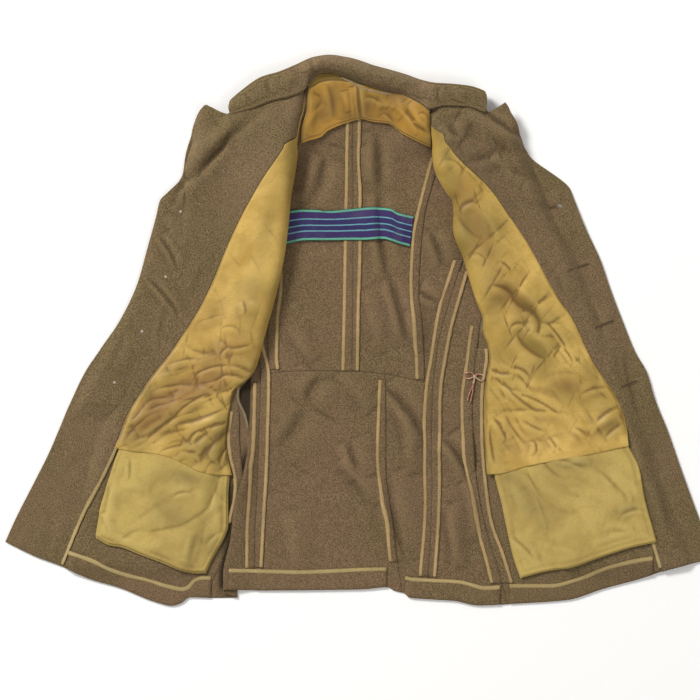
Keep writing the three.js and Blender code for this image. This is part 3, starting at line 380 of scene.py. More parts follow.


# %% [markdown]
# ## Materials: how a shader gets its colours
#
# Every cloth is a Principled shader. Its colour starts from two tones mixed by a noise pattern,
# is then given painted shade in hollows and a painted highlight on crests, and may be tinted by
# staining and by painted shade. The weave is bump alone: it catches light without changing the
# outline.

# %% Shader helpers
class Cloth:
    """A material being built, with short names for the nodes that cloth needs."""

    def __init__(self, name):
        """A Principled material; patterns read the object's own space or the cloth's map."""
        self.material = bpy.data.materials.new(name)
        self.material.use_nodes = True
        self.tree = self.material.node_tree
        self.shader = self.tree.nodes["Principled BSDF"]
        self.place = self.node("ShaderNodeTexCoord").outputs["Object"]
        self.uv = self.node("ShaderNodeUVMap", uv_map="cloth").outputs["UV"]

    def node(self, kind, inputs=None, **settings):
        """A new node with its settings, and with the values or links of its inputs."""
        made = self.tree.nodes.new(kind)
        for key, value in settings.items():
            setattr(made, key, value)
        for key, value in (inputs or {}).items():
            self.feed(made.inputs[key], value)
        return made

    def feed(self, socket, value):
        """Links an output to a socket, or sets the socket's own value."""
        if isinstance(value, bpy.types.NodeSocket):
            self.tree.links.new(value, socket)
        elif isinstance(value, tuple) and len(value) == 3 and socket.type == "RGBA":
            socket.default_value = (*value, 1.0)
        else:
            socket.default_value = value

    def stretched(self, source, scale=(1.0, 1.0, 1.0), turn=0.0):
        """Coordinates scaled along each axis and turned about Z."""
        inputs = dict(Scale=scale, Rotation=(0.0, 0.0, turn), Vector=source)
        return self.node("ShaderNodeMapping", inputs).outputs["Vector"]

    def noise(self, source, scale, detail=3.0, rough=0.55, distort=0.0):
        """Noise of so many cells to a metre."""
        inputs = dict(Vector=source, Scale=scale, Detail=detail, Roughness=rough, Distortion=distort)
        return self.node("ShaderNodeTexNoise", inputs).outputs["Fac"]

    def wave(self, source, scale, direction="X", distort=0.0):
        """Bands across one direction."""
        inputs = dict(Vector=source, Scale=scale, Distortion=distort)
        settings = dict(wave_type="BANDS", bands_direction=direction)
        return self.node("ShaderNodeTexWave", inputs, **settings).outputs["Fac"]

    def step(self, value, low, high, to_low=0.0, to_high=1.0):
        """value between low and high, eased and sent to another range."""
        inputs = dict(enumerate((value, low, high, to_low, to_high)))
        made = self.node("ShaderNodeMapRange", inputs, interpolation_type="SMOOTHSTEP")
        return made.outputs["Result"]

    def math(self, operation, a, b=0.0):
        """One arithmetic node on two values."""
        return self.node("ShaderNodeMath", {0: a, 1: b}, operation=operation).outputs[0]

    def mix(self, factor, a, b):
        """Colour a for factor 0, colour b for factor 1."""
        return self.node("ShaderNodeMix", {0: factor, 6: a, 7: b}, data_type="RGBA").outputs[2]

    def tint(self, body, amount, share, *colour):
        """body moved towards a tone by amount times share."""
        return self.mix(self.math("MULTIPLY", amount, share), body, tone(*colour))

    def field(self, name):
        """The value that each vertex carries under a name."""
        return self.node("ShaderNodeAttribute", attribute_name=name).outputs["Fac"]

    def bump(self, height, distance, strength=1.0, after=None):
        """A normal bumped by a height, over another bump if there is one."""
        inputs = dict(Strength=strength, Distance=distance, Height=height)
        if after is not None:
            inputs["Normal"] = after
        return self.node("ShaderNodeBump", inputs).outputs["Normal"]

    def finish(self, colour, normal, roughness, sheen=0.0, tint=(1.0, 1.0, 1.0), gloss=0.5):
        """Feeds the shader and returns the material."""
        values = {
            "Base Color": colour, "Normal": normal, "Roughness": roughness,
            "Specular IOR Level": gloss, "Sheen Weight": sheen, "Sheen Roughness": 0.5,
            "Sheen Tint": tint,
        }
        for key, value in values.items():
            self.feed(self.shader.inputs[key], value)
        return self.material


def tone(red, green, blue):
    """A screen colour in 0..255 as linear light, times 0.9.

    The tones were first chosen, and then moved until the render's mean colour in
    about thirty places came near to the photograph's.
    """
    c = np.array([red, green, blue]) / 255.0
    linear = np.where(c <= 0.04045, c / 12.92, ((c + 0.055) / 1.055) ** 2.4)
    return tuple(float(v) for v in 0.9 * linear)


# %% [markdown]
# ## Wool
#
# The cloth is a drab serge: dyed fibres of brown, olive and a little red are blended before
# spinning, so close up the cloth is speckled, and from afar it drifts between brown and olive.
# Noises do that: light and dark specks of a millimetre or two, a middle mottling, and slow
# drift. The twill's fine diagonal ribs and a short nap are bump. Where the pleat lets no light
# in, the field deep darkens the cloth beyond what the lamps give.

# %% Wool serge
def make_wool(name, brown, olive):
    """Two dyes mixed by slow noise, mottled, specked light and dark, then shaded by the fields."""
    c = Cloth(name)
    drift = c.step(c.noise(c.place, 7.0, 2.0), 0.38, 0.62)
    body = c.mix(drift, tone(*brown), tone(*olive))
    mottle = c.step(c.noise(c.place, 95.0, 3.0), 0.3, 0.7)
    body = c.tint(body, mottle, 0.26, 84, 66, 44)
    specks = c.step(c.noise(c.place, 560.0, 2.0, 0.6), 0.40, 0.66)
    body = c.tint(body, specks, 0.46, 176, 150, 112)
    dark = c.step(c.noise(c.stretched(c.uv, turn=0.8), 520.0, 2.0, 0.6), 0.46, 0.68)
    body = c.tint(body, dark, 0.62, 50, 38, 24)
    # Painted shade in hollows and a painted highlight on crests.
    body = c.tint(body, c.field("hollow"), 0.5, 52, 40, 24)
    body = c.tint(body, c.field("crest"), 0.25, 158, 134, 96)
    body = c.tint(body, c.field("deep"), 0.86, 26, 20, 12)
    twill = c.wave(c.stretched(c.uv, turn=math.radians(52)), 240.0, "X", 1.2)
    nap = c.noise(c.place, 900.0, 4.0, 0.7)
    normal = c.bump(twill, 0.00022, 0.7)
    normal = c.bump(nap, 0.0006, 0.9, normal)
    return c.finish(body, normal, 0.95, 0.35, tone(176, 156, 128), 0.25)


wool = make_wool("wool_serge", (124, 101, 74), (114, 98, 64))
wool_facing = make_wool("wool_facing", (124, 102, 74), (112, 97, 63))
wool_back = make_wool("wool_back", (126, 100, 75), (116, 96, 66))

# %% [markdown]
# ## Satin lining
#
# The linings are a cotton satin. Its weft shows as fine level streaks, it shines softly across
# the threads, and years of wear have left olive and rusty staining. Olive painted shade also
# lies beside the roll and along the deepest folds. Streaks are a noise stretched along the weft.
# The painted shade of each fold comes from the hollow field.

# %% Satin
def make_satin(name, light, deep):
    """Cloudy gold with green patches and streaks along the weft, then staining and painted shade."""
    c = Cloth(name)
    cloudy = c.step(c.noise(c.place, 16.0, 3.0, 0.6, 0.4), 0.35, 0.68)
    body = c.mix(cloudy, tone(*light), tone(*deep))
    green = c.step(c.noise(c.place, 13.0, 2.0, 0.5, 0.8), 0.5, 0.7)
    body = c.tint(body, green, 0.45, 158, 134, 62)
    streak = c.noise(c.stretched(c.uv, (0.06, 1.0, 1.0)), 900.0, 3.0, 0.7)
    body = c.tint(body, c.step(streak, 0.35, 0.7), 0.22, 150, 116, 52)
    fine = c.noise(c.place, 480.0, 2.0, 0.6)
    body = c.tint(body, c.step(fine, 0.4, 0.75), 0.14, 122, 92, 42)
    # olive: staining, and painted shade beside the roll and along the deepest folds.
    body = c.mix(c.field("olive"), body, tone(128, 108, 44))
    body = c.mix(c.field("rust"), body, tone(146, 104, 52))
    # Painted shade in hollows and a painted highlight on crests.
    body = c.tint(body, c.field("hollow"), 0.72, 104, 74, 28)
    body = c.tint(body, c.field("crest"), 0.12, 226, 194, 120)
    normal = c.bump(streak, 0.00012, 0.6)
    normal = c.bump(c.noise(c.place, 140.0, 4.0, 0.6), 0.0016, 0.22, normal)
    return c.finish(body, normal, 0.54, 0.25, tone(240, 214, 150), 0.4)


satin = make_satin("gold_satin", (224, 187, 98), (194, 157, 72))
satin_neck = make_satin("neck_satin", (188, 140, 48), (136, 100, 32))

# %% [markdown]
# ## Pocket bag drill
#
# The bags are khaki cotton drill, greener and flatter than the satin, with soft darker blots,
# partly staining and partly painted shade of broad folds, and a plain diagonal weave.

# %% Drill
def make_drill():
    """Khaki in soft clouds with fine specks, stained and shaded by the fields."""
    c = Cloth("khaki_drill")
    cloudy = c.step(c.noise(c.place, 20.0, 3.0, 0.6, 0.3), 0.35, 0.68)
    body = c.mix(cloudy, tone(206, 178, 100), tone(186, 158, 88))
    body = c.tint(body, c.step(c.noise(c.place, 520.0, 2.0), 0.4, 0.7), 0.2, 134, 116, 58)
    # olive: the bags' blots, partly staining and partly painted shade of broad folds.
    body = c.mix(c.field("olive"), body, tone(124, 106, 60))
    # Painted shade in hollows and a painted highlight on crests.
    body = c.tint(body, c.field("hollow"), 0.5, 108, 90, 42)
    body = c.tint(body, c.field("crest"), 0.3, 205, 188, 122)
    twill = c.wave(c.stretched(c.uv, turn=math.radians(-50)), 300.0, "X", 0.6)
    normal = c.bump(twill, 0.00015, 0.6)
    normal = c.bump(c.noise(c.place, 160.0, 4.0, 0.6), 0.0012, 0.3, normal)
    return c.finish(body, normal, 0.8, 0.25, tone(220, 206, 150), 0.3)


drill = make_drill()

# %% [markdown]
# ## Seam tape
#
# The tapes are a ribbed cotton binding folded over each raw edge. They vary from gold to grey
# along their length, and grow darker towards both long edges.

# %% Binding tape
def make_tape(name, gold, grey):
    """Gold drifting to grey, ribbed across, darker towards both long edges."""
    c = Cloth(name)
    drift = c.step(c.noise(c.place, 11.0, 2.0), 0.35, 0.65)
    body = c.mix(drift, tone(*gold), tone(*grey))
    ribs = c.wave(c.uv, 420.0, "Y", 0.8)
    body = c.tint(body, ribs, 0.25, 128, 104, 60)
    specks = c.step(c.noise(c.place, 500.0, 3.0), 0.45, 0.7)
    body = c.tint(body, specks, 0.3, 112, 90, 54)
    body = c.mix(c.field("edge"), body, tone(128, 96, 62))
    normal = c.bump(ribs, 0.0003, 0.7)
    normal = c.bump(c.noise(c.place, 700.0, 2.0), 0.0004, 0.6, normal)
    return c.finish(body, normal, 0.85, 0.3, tone(225, 205, 160), 0.3)


binding = make_tape("seam_binding", (212, 180, 128), (188, 160, 112))
binding_green = make_tape("hem_binding", (208, 186, 130), (190, 168, 114))

# %% [markdown]
# ## The seams of the body
#
# The back is cut in panels: two back panels with side-back panels beside them above the waist,
# a side panel under each arm that runs from armhole to hem, and two back skirts that meet at
# the vent. Each seam is one curve, shared by the panels on both sides of it.

# %% Seams and ends of the body panels
CENTRE = curve([(350, -8), (130, -6.5), (-56, -8)])
SIDE_BACK_R = curve([
    (184, -104), (128, -112), (86, -117), (44, -123), (-5, -127), (-33, -126), (-60, -121),
])
SIDE_BACK_L = curve([
    (250, 117), (208, 105), (161, 93), (101, 87), (61, 85), (12, 88.5), (-40, 92.5), (-69, 93),
])
SIDE_SEAM_R = curve([
    (97, -165), (44, -155), (-18, -143), (-62, -136), (-141, -138), (-229, -141), (-285, -144),
    (-362, -144),
])
SIDE_SEAM_L = curve([
    (111, 151), (79, 140), (44, 129), (13, 120), (-19, 112), (-54, 108), (-89, 104), (-152, 103),
    (-208, 104), (-278, 102), (-374, 97),
])
UNDERARM_R = curve([
    (20, -172), (-50, -168), (-85, -163), (-110, -166), (-140, -166), (-175, -164), (-208, -160),
    (-240, -164), (-285, -175), (-327, -192), (-355, -205), (-372, -209),
])
UNDERARM_L = curve([
    (60, 181), (36, 178), (20, 174), (5, 170), (-16, 167.5), (-43, 164), (-97, 160), (-145, 160.7),
    (-190, 164), (-237, 171), (-283, 181), (-318, 192), (-353, 202), (-384, 210),
])
WAIST = curve([(-136, -60), (-81, -55.5), (-11, -56), (38, -60), (83, -69), (115, -75)])
NECK = curve([
    (-75, 337), (-71, 345), (-62, 357), (-50, 362), (-32, 361), (-13, 355), (7, 346.5), (29, 339.5),
    (59, 333), (84, 321), (95, 313), (102, 305),
])
VENT = curve([(-58, 38), (-100, 39), (-194, 39), (-250, 45), (-306, 53), (-366, 63)])
HEM_R = curve([
    (-492, -295), (-452, -314.5), (-416, -328), (-370, -348), (-333, -359), (-284, -378.5), (-260, -384),
    (-245, -379), (-237, -372), (-196, -373), (-172, -373),
])
HEM_BACK = curve([(-188, -361), (-137, -362.5), (3, -361), (42, -358), (50, -362.5), (64, -366)])
HEM_L = curve([
    (40, -359), (50, -362.5), (64, -366), (72, -372.5), (95, -374.5), (134, -377), (169, -383.5),
    (221, -381), (292, -376), (344, -360), (388, -348), (430, -334), (479, -322), (498, -317),
])

# %% [markdown]
# ## How the back lies
#
# The back rests on the table and climbs to the neck and the shoulders, where the folded collar
# and sleeve heads lie beneath. On that form lie the long soft folds that a worn coat keeps:
# beside the centre seam, across the waist and down the skirts.

# %% Height of the back with its folds
BACK_FOLDS = [
    (-46, 246, -70, 176, -3.2, 11, 4), (24, 281, 29, 196, -3, 9, 2), (29, 200, 42, 71, -3.4, 10, -4),
    (42, 76, 67, -16, -3, 9, 3), (8, 262, 14, 208, 1.6, 9, 0), (-92, 200, -104, 120, 1.8, 12, 3),
    (84, 57, 114, 41, -2, 6, -2), (68, 30, 88, -30, 1.8, 10, 0), (-50, -60, -72, -104, -2.6, 13, -5),
    (-72, -100, -116, -170, -2.4, 15, 4), (-16, -152, 2, -206, -2.2, 9, 0),
    (-25, -178, 26, -242, 2, 12, 5), (36, -75, 94, -155, -3.6, 10, 6), (40, -197, 68, -320, -3, 10, -5),
    (60, -110, 74, -200, 2.2, 13, 5), (119, -149, 154, -203, -3.6, 9, 4),
    (154, -200, 174, -287, -3, 8, 4), (128, -240, 140, -330, 2, 10, 0),
    (-100, -250, -86, -350, 1.6, 15, 4), (-30, -60, 20, -110, 1.5, 14, 4),
    (-94, 10, -60, -40, 1.5, 12, -3), (10, 60, 30, -30, 1.4, 12, 3), (100, 140, 118, 90, -2, 8, 2),
]
BACK_RUMPLES = scattered(7, 34, (-130, 160, -350, 240), 80, 28, (25, 80), (0.25, 0.8), (5, 10))


def back_relief(x, y):
    """Soft folds of the back, kept above the table."""
    small = creases(x, y, BACK_RUMPLES)
    return 2.6 * creases(x, y, BACK_FOLDS) + 1.0 + small - 0.5 * np.tanh(small)


def back_form(x, y):
    """Flat on the table below, rising 13 mm to the neck and 15 mm more to each shoulder."""
    shoulder = 15 * smooth((np.abs(x + 2) - 45) / 55) * smooth((y - 235) / 45)
    return 13 * smooth((y - 225) / 110) + shoulder


def back_height(x, y):
    """Form of the back plus its folds."""
    return back_form(x, y) + np.maximum(0.0, back_relief(x, y))


def body_panel(name, left, right, bottom, top, across, along, nodes):
    """A panel of the body between four seams, on the height of the back."""
    u, v = unit_grid(across, along)
    x, y = within(left, right, bottom, top, u, v)
    relief = np.maximum(0.0, back_relief(x, y))
    base = raised(x, y, back_form(x, y))
    return shell(name, base, wool_back, WOOL, 0.0, relief, nodes=nodes)


# %% Back and side-back panels
def shoulder_r(y):
    """The right back panel's outer side: the seam below, the shoulder above it."""
    above = curve([
        (337, -73), (300, -77), (262, -82.5), (240, -85), (226, -86.5), (205, -98), (184, -104),
    ])
    tuck = 5 * smooth((y - 236) / 10) * smooth((334 - y) / 12)
    return np.where(y > 184, above(y), SIDE_BACK_R(y)) + SEAM - tuck


ROLL_LEFT_X = curve([
    (318, 102), (303, 102), (257, 106), (230, 109), (194, 127), (183, 135), (157, 137), (97, 152),
    (53, 165), (36, 170), (20, 174), (-4, 169), (-16, 167.5),
])


def shoulder_l(y):
    """The left back panel's outer side: the seam below, just clear of the rolled front above."""
    tuck = 5 * smooth((y - 232) / 10) * smooth((318 - y) / 12)
    return np.where(y > 225, ROLL_LEFT_X(y) - 2.5 + tuck, SIDE_BACK_L(y) - SEAM)


def arm_r(y):
    """Outer side of the right side-back panel: the side seam, then the armhole."""
    upper = curve([(180, -112), (150, -124), (120, -140), (97, -164)])
    return np.where(y > 97, upper(y), SIDE_SEAM_R(y) + SEAM)


def arm_l(y):
    """Outer side of the left side-back panel: the side seam, then the armhole."""
    upper = curve([(222, 121), (200, 136), (160, 146), (130, 155), (111, 151)])
    return np.where(y > 111, upper(y), SIDE_SEAM_L(y) - SEAM)


above_waist = moved(WAIST, SEAM)
neck_line = moved(NECK, -1.8)
body_panel(
    "panel_back_r", shoulder_r, moved(CENTRE, -SEAM), above_waist, neck_line, 38, 135, ["back_r"]
)
body_panel(
    "panel_back_l", moved(CENTRE, SEAM), shoulder_l, above_waist, neck_line, 38, 135, ["back_l"]
)
body_panel(
    "panel_side_back_r", arm_r, moved(SIDE_BACK_R, -SEAM), above_waist, level(176), 16, 70,
    ["side_back_r"],
)
body_panel(
    "panel_side_back_l", moved(SIDE_BACK_L, SEAM), arm_l, above_waist, level(218), 20, 84,
    ["side_back_l"],
)
print("back panels made")

# %% [markdown]
# ## Side panel with its pleat
#
# The right side panel is fuller than the place it lies in, so it folds over itself in one long
# Z: a top leaf, a turn, a middle leaf, a turn back, and the lower leaf. The fold grows from
# nothing below the waist to a deep pleat at the hem. At each height the section is two arcs
# and three straight runs, and the arcs' length stays the same while they turn further round.

# %% Pleat of the right side panel
# Columns: y, turning angle in degrees, middle leaf, x of the fold.
PLEAT = [
    (-60, 2, 2, -152), (-120, 25, 2, -153.5), (-165, 70, 1, -155), (-190, 115, 2.5, -158.5),
    (-208, 150, 5, -162), (-240, 172, 10, -172), (-290, 179, 15, -178), (-340, 180, 16, -188),
    (-373, 180, 16, -188),
]
PLEAT_TURN, PLEAT_LEAF, PLEAT_FOLD = (curve(PLEAT, 0, k) for k in (1, 2, 3))
CURL = 4.4
PLEAT_START = -60.0
THIN_WOOL = WOOL - 0.1


def pleat_size(y):
    """Turning angle, middle leaf, turning radius and height of the fold at each y."""
    low = np.minimum(y, PLEAT_START)
    turn = np.radians(np.clip(PLEAT_TURN(low), 2.0, 180.0))
    leaf = PLEAT_LEAF(low)
    radius = CURL / turn
    return turn, leaf, radius, 2 * radius * (1 - np.cos(turn)) + leaf * np.sin(turn)


def pleat_crest(y):
    """x of the fold's highest line at each y: the turn's start, plus the radius it has turned."""
    turn, _, radius, _ = pleat_size(y)
    return PLEAT_FOLD(y) + np.where(turn > np.pi / 2, radius, radius * np.sin(turn))


def top_leaf_height(x, y):
    """Height of the top leaf: the fold's height, eased from the seam to the crest."""
    seam = SIDE_SEAM_R(y)
    rise = pleat_size(y)[3] * smooth((seam - x) / (seam - pleat_crest(y)))
    return np.where(y > PLEAT_START, 0.0, rise)


def pleat_section(share, y):
    """x and z along the fold: 0-0.3 top leaf, 0.5 first turn, 0.6 leaf, 0.8 second turn, 1 end."""
    turn, leaf, radius, drop = pleat_size(y)
    seam, end, crest = SIDE_SEAM_R(y) - SEAM, UNDERARM_R(y) + SEAM, pleat_crest(y)
    end = end - 3.2 * smooth((y + 116) / 24)
    x0 = lerp(seam, crest, np.clip(share / 0.3, 0, 1))
    z0 = drop * smooth((seam - x0) / (seam - crest))
    first = np.clip((share - 0.3) / 0.2, 0, 1) * turn
    slide = np.clip((share - 0.5) / 0.1, 0, 1) * leaf
    second = turn * (1 - np.clip((share - 0.6) / 0.2, 0, 1))
    back = np.where(share > 0.6, 1.0, 0.0)
    x = x0 - radius * np.sin(first) - slide * np.cos(turn)
    x = x - back * radius * (np.sin(turn) - np.sin(second))
    z = z0 - radius * (1 - np.cos(first)) - slide * np.sin(turn)
    z = z - back * radius * (np.cos(second) - np.cos(turn))
    last = np.clip((share - 0.8) / 0.2, 0, 1)
    return lerp(x, end, last), np.maximum(0.0, z) * (1 - last)


WEDGE_LEFT = curve([(-60, -161), (-89, -167.5), (-117, -158.5), (-138, -154), (-166, -157)])
WEDGE_RIGHT = curve([(-60, -148), (-89, -149), (-117, -149.8), (-138, -150.5), (-166, -152.5)])


def make_side_r():
    """Rows of the fold from hem to armhole; above the fold the panel is level.

    deep marks where no light comes in, between the wedge's two lines and inside the fold.
    """
    hem = curve([(0, -362.3), (0.3, -361.5), (0.5, -367), (0.6, -372), (1, -373)])
    arm = curve([(0, 92), (0.3, 84), (1, 44)])
    u, v = unit_grid(60, 150)
    y = lerp(hem(u), arm(u), v)
    x, z = pleat_section(u, y)
    flat_share = (x - SIDE_SEAM_R(y)) / (UNDERARM_R(y) - SIDE_SEAM_R(y))
    blend = smooth((y - PLEAT_START) / 20)
    level_end = UNDERARM_R(y) + SEAM - 3.2 * smooth((y + 116) / 24)
    level_x = lerp(SIDE_SEAM_R(y) - SEAM, level_end, np.clip(flat_share, 0, 1))
    x = lerp(x, level_x, blend)
    base = raised(x, y, z * (1 - blend) + THIN_WOOL / 2)
    wedge = smooth((x - WEDGE_LEFT(y)) / 2.5) * smooth((WEDGE_RIGHT(y) - x) / 2.5)
    wedge = wedge * smooth((-52 - y) / 14)
    within_fold = smooth((u - 0.33) / 0.12) * smooth((x - pleat_crest(y) + 13) / 9)
    within_fold = within_fold * smooth((-150 - y) / 30)
    deep = np.clip(wedge * smooth((y + 150) / 20) + within_fold, 0, 1)
    deep = deep * (0.25 + 0.75 * smooth((y + 366) / 12))
    shell(
        "panel_side_r", base, wool_back, THIN_WOOL, -THIN_WOOL / 2, None, dict(deep=deep),
        ["side_r"],
    )


make_side_r()

# %% Left side panel and the back skirts
ARM_TOP_L = curve([(145, 100), (166, 88), (181, 50)])
below_waist = moved(WAIST, -SEAM)
body_panel(
    "panel_side_l", moved(SIDE_SEAM_L, SEAM), moved(UNDERARM_L, -SEAM), HEM_L, ARM_TOP_L, 30, 170,
    ["side_l"],
)
body_panel(
    "panel_skirt_r", moved(SIDE_SEAM_R, SEAM), moved(VENT, -SEAM), HEM_BACK, below_waist, 64, 112,
    ["skirt_back_r"],
)
body_panel(
    "panel_skirt_l", moved(VENT, SEAM), moved(SIDE_SEAM_L, -SEAM), HEM_L, below_waist, 26, 112,
    ["skirt_back_l"],
)

# %% [markdown]
# ## The rolled fronts
#
# Each front is folded outwards. Its inner line stands up in a soft roll and falls away over the
# sleeve beneath it, out to the free edge. A section across the front at height y is an arc for
# the roll, then a slope that eases down to the ground or the sleeve. Distances along these
# sections give every point of the cloth two numbers, height y and distance d from the roll, and
# everything that is sewn to the front is laid out in those two numbers.

# %% Measured lines of the two fronts
# Rolls: y, x and height. Sleeves: y, inner x, outer x and height. NEAR: y and distance along the
# cloth from the inner line. Other lines: y and x, or x and y. Large folds: x1 y1 x2 y2, height and
# width.
ROLL_R = [
    (333, -75, 26), (311, -77, 30), (293, -82, 33), (270, -86, 34), (235, -89, 33), (184, -97, 32),
    (142, -101, 30), (95, -108, 28), (43, -120, 26), (5, -131, 24), (-45, -144, 17), (-61, -151, 12),
    (-85, -167.2, 1.2), (-100, -168, 0),
]
ROLL_L = [
    (318, 102, 28), (303, 102, 31), (257, 106, 34), (230, 109, 33), (194, 127, 32), (183, 135, 31),
    (157, 137, 30), (97, 152, 27), (53, 165, 18), (36, 170, 12), (20, 174, 7), (-4, 169, 2),
    (-16, 167.5, 0),
]
EDGE_R = curve([
    (316, -211), (311, -217), (282, -230), (248, -241), (218, -245.5), (208, -251), (198, -262),
    (183, -276), (162, -281), (114, -294), (65, -308), (13, -333), (-26, -361), (-57, -382), (-101, -403),
    (-169, -432), (-209, -452), (-264, -480), (-292, -492.5),
])
EDGE_L = curve([
    (320, 205), (315, 209), (296, 216), (257, 230), (239, 246.5), (225, 266), (213, 283), (202, 295),
    (183, 303), (143, 319), (100, 339), (57, 354), (10, 372), (-29, 388), (-57, 404), (-96, 416),
    (-138, 433), (-195, 453), (-250, 473), (-317, 498),
])
FACING_R = curve([
    (285, -85), (275, -92), (247, -109), (216, -130), (164, -160), (104, -189), (61, -207), (15, -232),
    (-26, -260), (-79, -301), (-120, -326), (-160, -340), (-197, -357), (-255, -386), (-326, -416),
])
FACING_L = curve([
    (302, 102), (279, 113), (250, 132), (234, 146), (199, 183), (157, 214), (120, 239), (57, 274),
    (17, 300), (-47, 332), (-94, 363), (-130, 376), (-160, 379), (-222, 395), (-285, 412), (-332, 426),
])
NEAR_R = curve([
    (-55, 3), (-79, 6), (-99, 11), (-143, 18), (-156, 18.5), (-198, 16), (-240, 13), (-258, 14),
    (-372, 14),
])
NEAR_L = curve([
    (16, 3), (-4, 7), (-19, 14), (-40, 18.5), (-72, 16.5), (-150, 15.5), (-197, 15), (-265, 12.5),
    (-306, 15.5), (-384, 16.5),
])
GORGE_R = curve([
    (-211, 316), (-205, 313.5), (-190, 306), (-180, 303), (-151, 310), (-122, 321), (-95, 327),
    (-75, 336),
])
GORGE_L = curve([(100, 307), (122, 314), (150, 313), (178, 304.5), (190, 310), (205, 320)])
LINE_R = curve([
    (-430, -150), (-343, -159), (-325, -163), (-277, -169), (-245, -181), (-214, -195), (-178, -198),
    (-160, -199),
])
LINE_L = curve([(160, -197), (192, -196.5), (241, -184), (339, -166), (379, -157), (450, -150)])
TURN_UP_R = curve([
    (-405, -309), (-373, -320), (-347, -332), (-325, -339.5), (-293, -348), (-269, -356), (-245, -360.5),
    (-238, -358), (-228, -348), (-218, -345), (-190, -345),
])
TURN_UP_BACK = curve([(-187, -334), (-81, -336.5), (38, -332.5), (60, -337)])
TURN_UP_L = curve([
    (58, -340), (73, -346.5), (142, -350.5), (179, -359), (220, -356), (269, -356), (308, -346.5),
    (347, -330.5), (382, -322), (414, -316.5),
])
SLEEVE_R = [
    (262, -118, -206, 18), (200, -124, -222, 14), (150, -138, -230, 10), (97, -172, -243, 7.5),
    (50, -181, -260, 6), (0, -185, -276, 5.5), (-69, -190, -306, 5.5), (-150, -205, -340, 5.5),
    (-240, -226, -364, 5.5), (-284, -238, -378, 5.5),
]
SLEEVE_L = [
    (262, 140, 206, 18), (200, 150, 232, 14), (150, 160, 254, 10), (100, 174, 280, 7.5),
    (50, 190, 302, 6), (0, 204, 322, 5.5), (-69, 224, 352, 5.5), (-150, 248, 380, 5.5),
    (-240, 274, 412, 5.5), (-284, 288, 430, 5.5),
]
BUTTONS = [(-252, 167), (-272, 76), (-304, 1), (-342, -69)]
LARGE_FOLDS = [
    (-162, 303, -251, 209, 5, 15), (-153, 290, -262, 190, -3, 12), (141, 308, 228, 257, 6, 15),
    (150, 236, 192, 247, -3, 9),
]

# %% [markdown]
# ### One front as a surface
#
# The sections are worked out on a fine table: a row for each height, a column for each step
# along the cloth. Looking a point up is then two blends between neighbouring rows and columns,
# for a whole grid of points at once.

# %% A front worked out from its lines
ROLL_STEPS = 24
SLOPE_STEPS = 110
SHARES = 360
LOWEST, HIGHEST, SECTIONS = -402, 348, 301


def look_up(table, row, column):
    """Blend of the four neighbours of (row, column) in a table."""
    i = np.clip(np.floor(row).astype(int), 0, table.shape[0] - 2)
    j = np.clip(np.floor(column).astype(int), 0, table.shape[1] - 2)
    s, t = np.clip(row - i, 0, 1), np.clip(column - j, 0, 1)
    low = lerp(table[i, j], table[i, j + 1], t)
    high = lerp(table[i + 1, j], table[i + 1, j + 1], t)
    return lerp(low, high, s)


def large_fold(x, y):
    """Bells along lines, highest at their middles."""
    z = np.zeros_like(x)
    for x1, y1, x2, y2, height, width in LARGE_FOLDS:
        dx, dy = x2 - x1, y2 - y1
        t = np.clip(((x - x1) * dx + (y - y1) * dy) / (dx * dx + dy * dy), 0, 1)
        away = np.hypot(x - x1 - t * dx, y - y1 - t * dy)
        z += height * np.exp(-((away / width) ** 2)) * (0.4 + 0.6 * np.sin(np.pi * t))
    return z


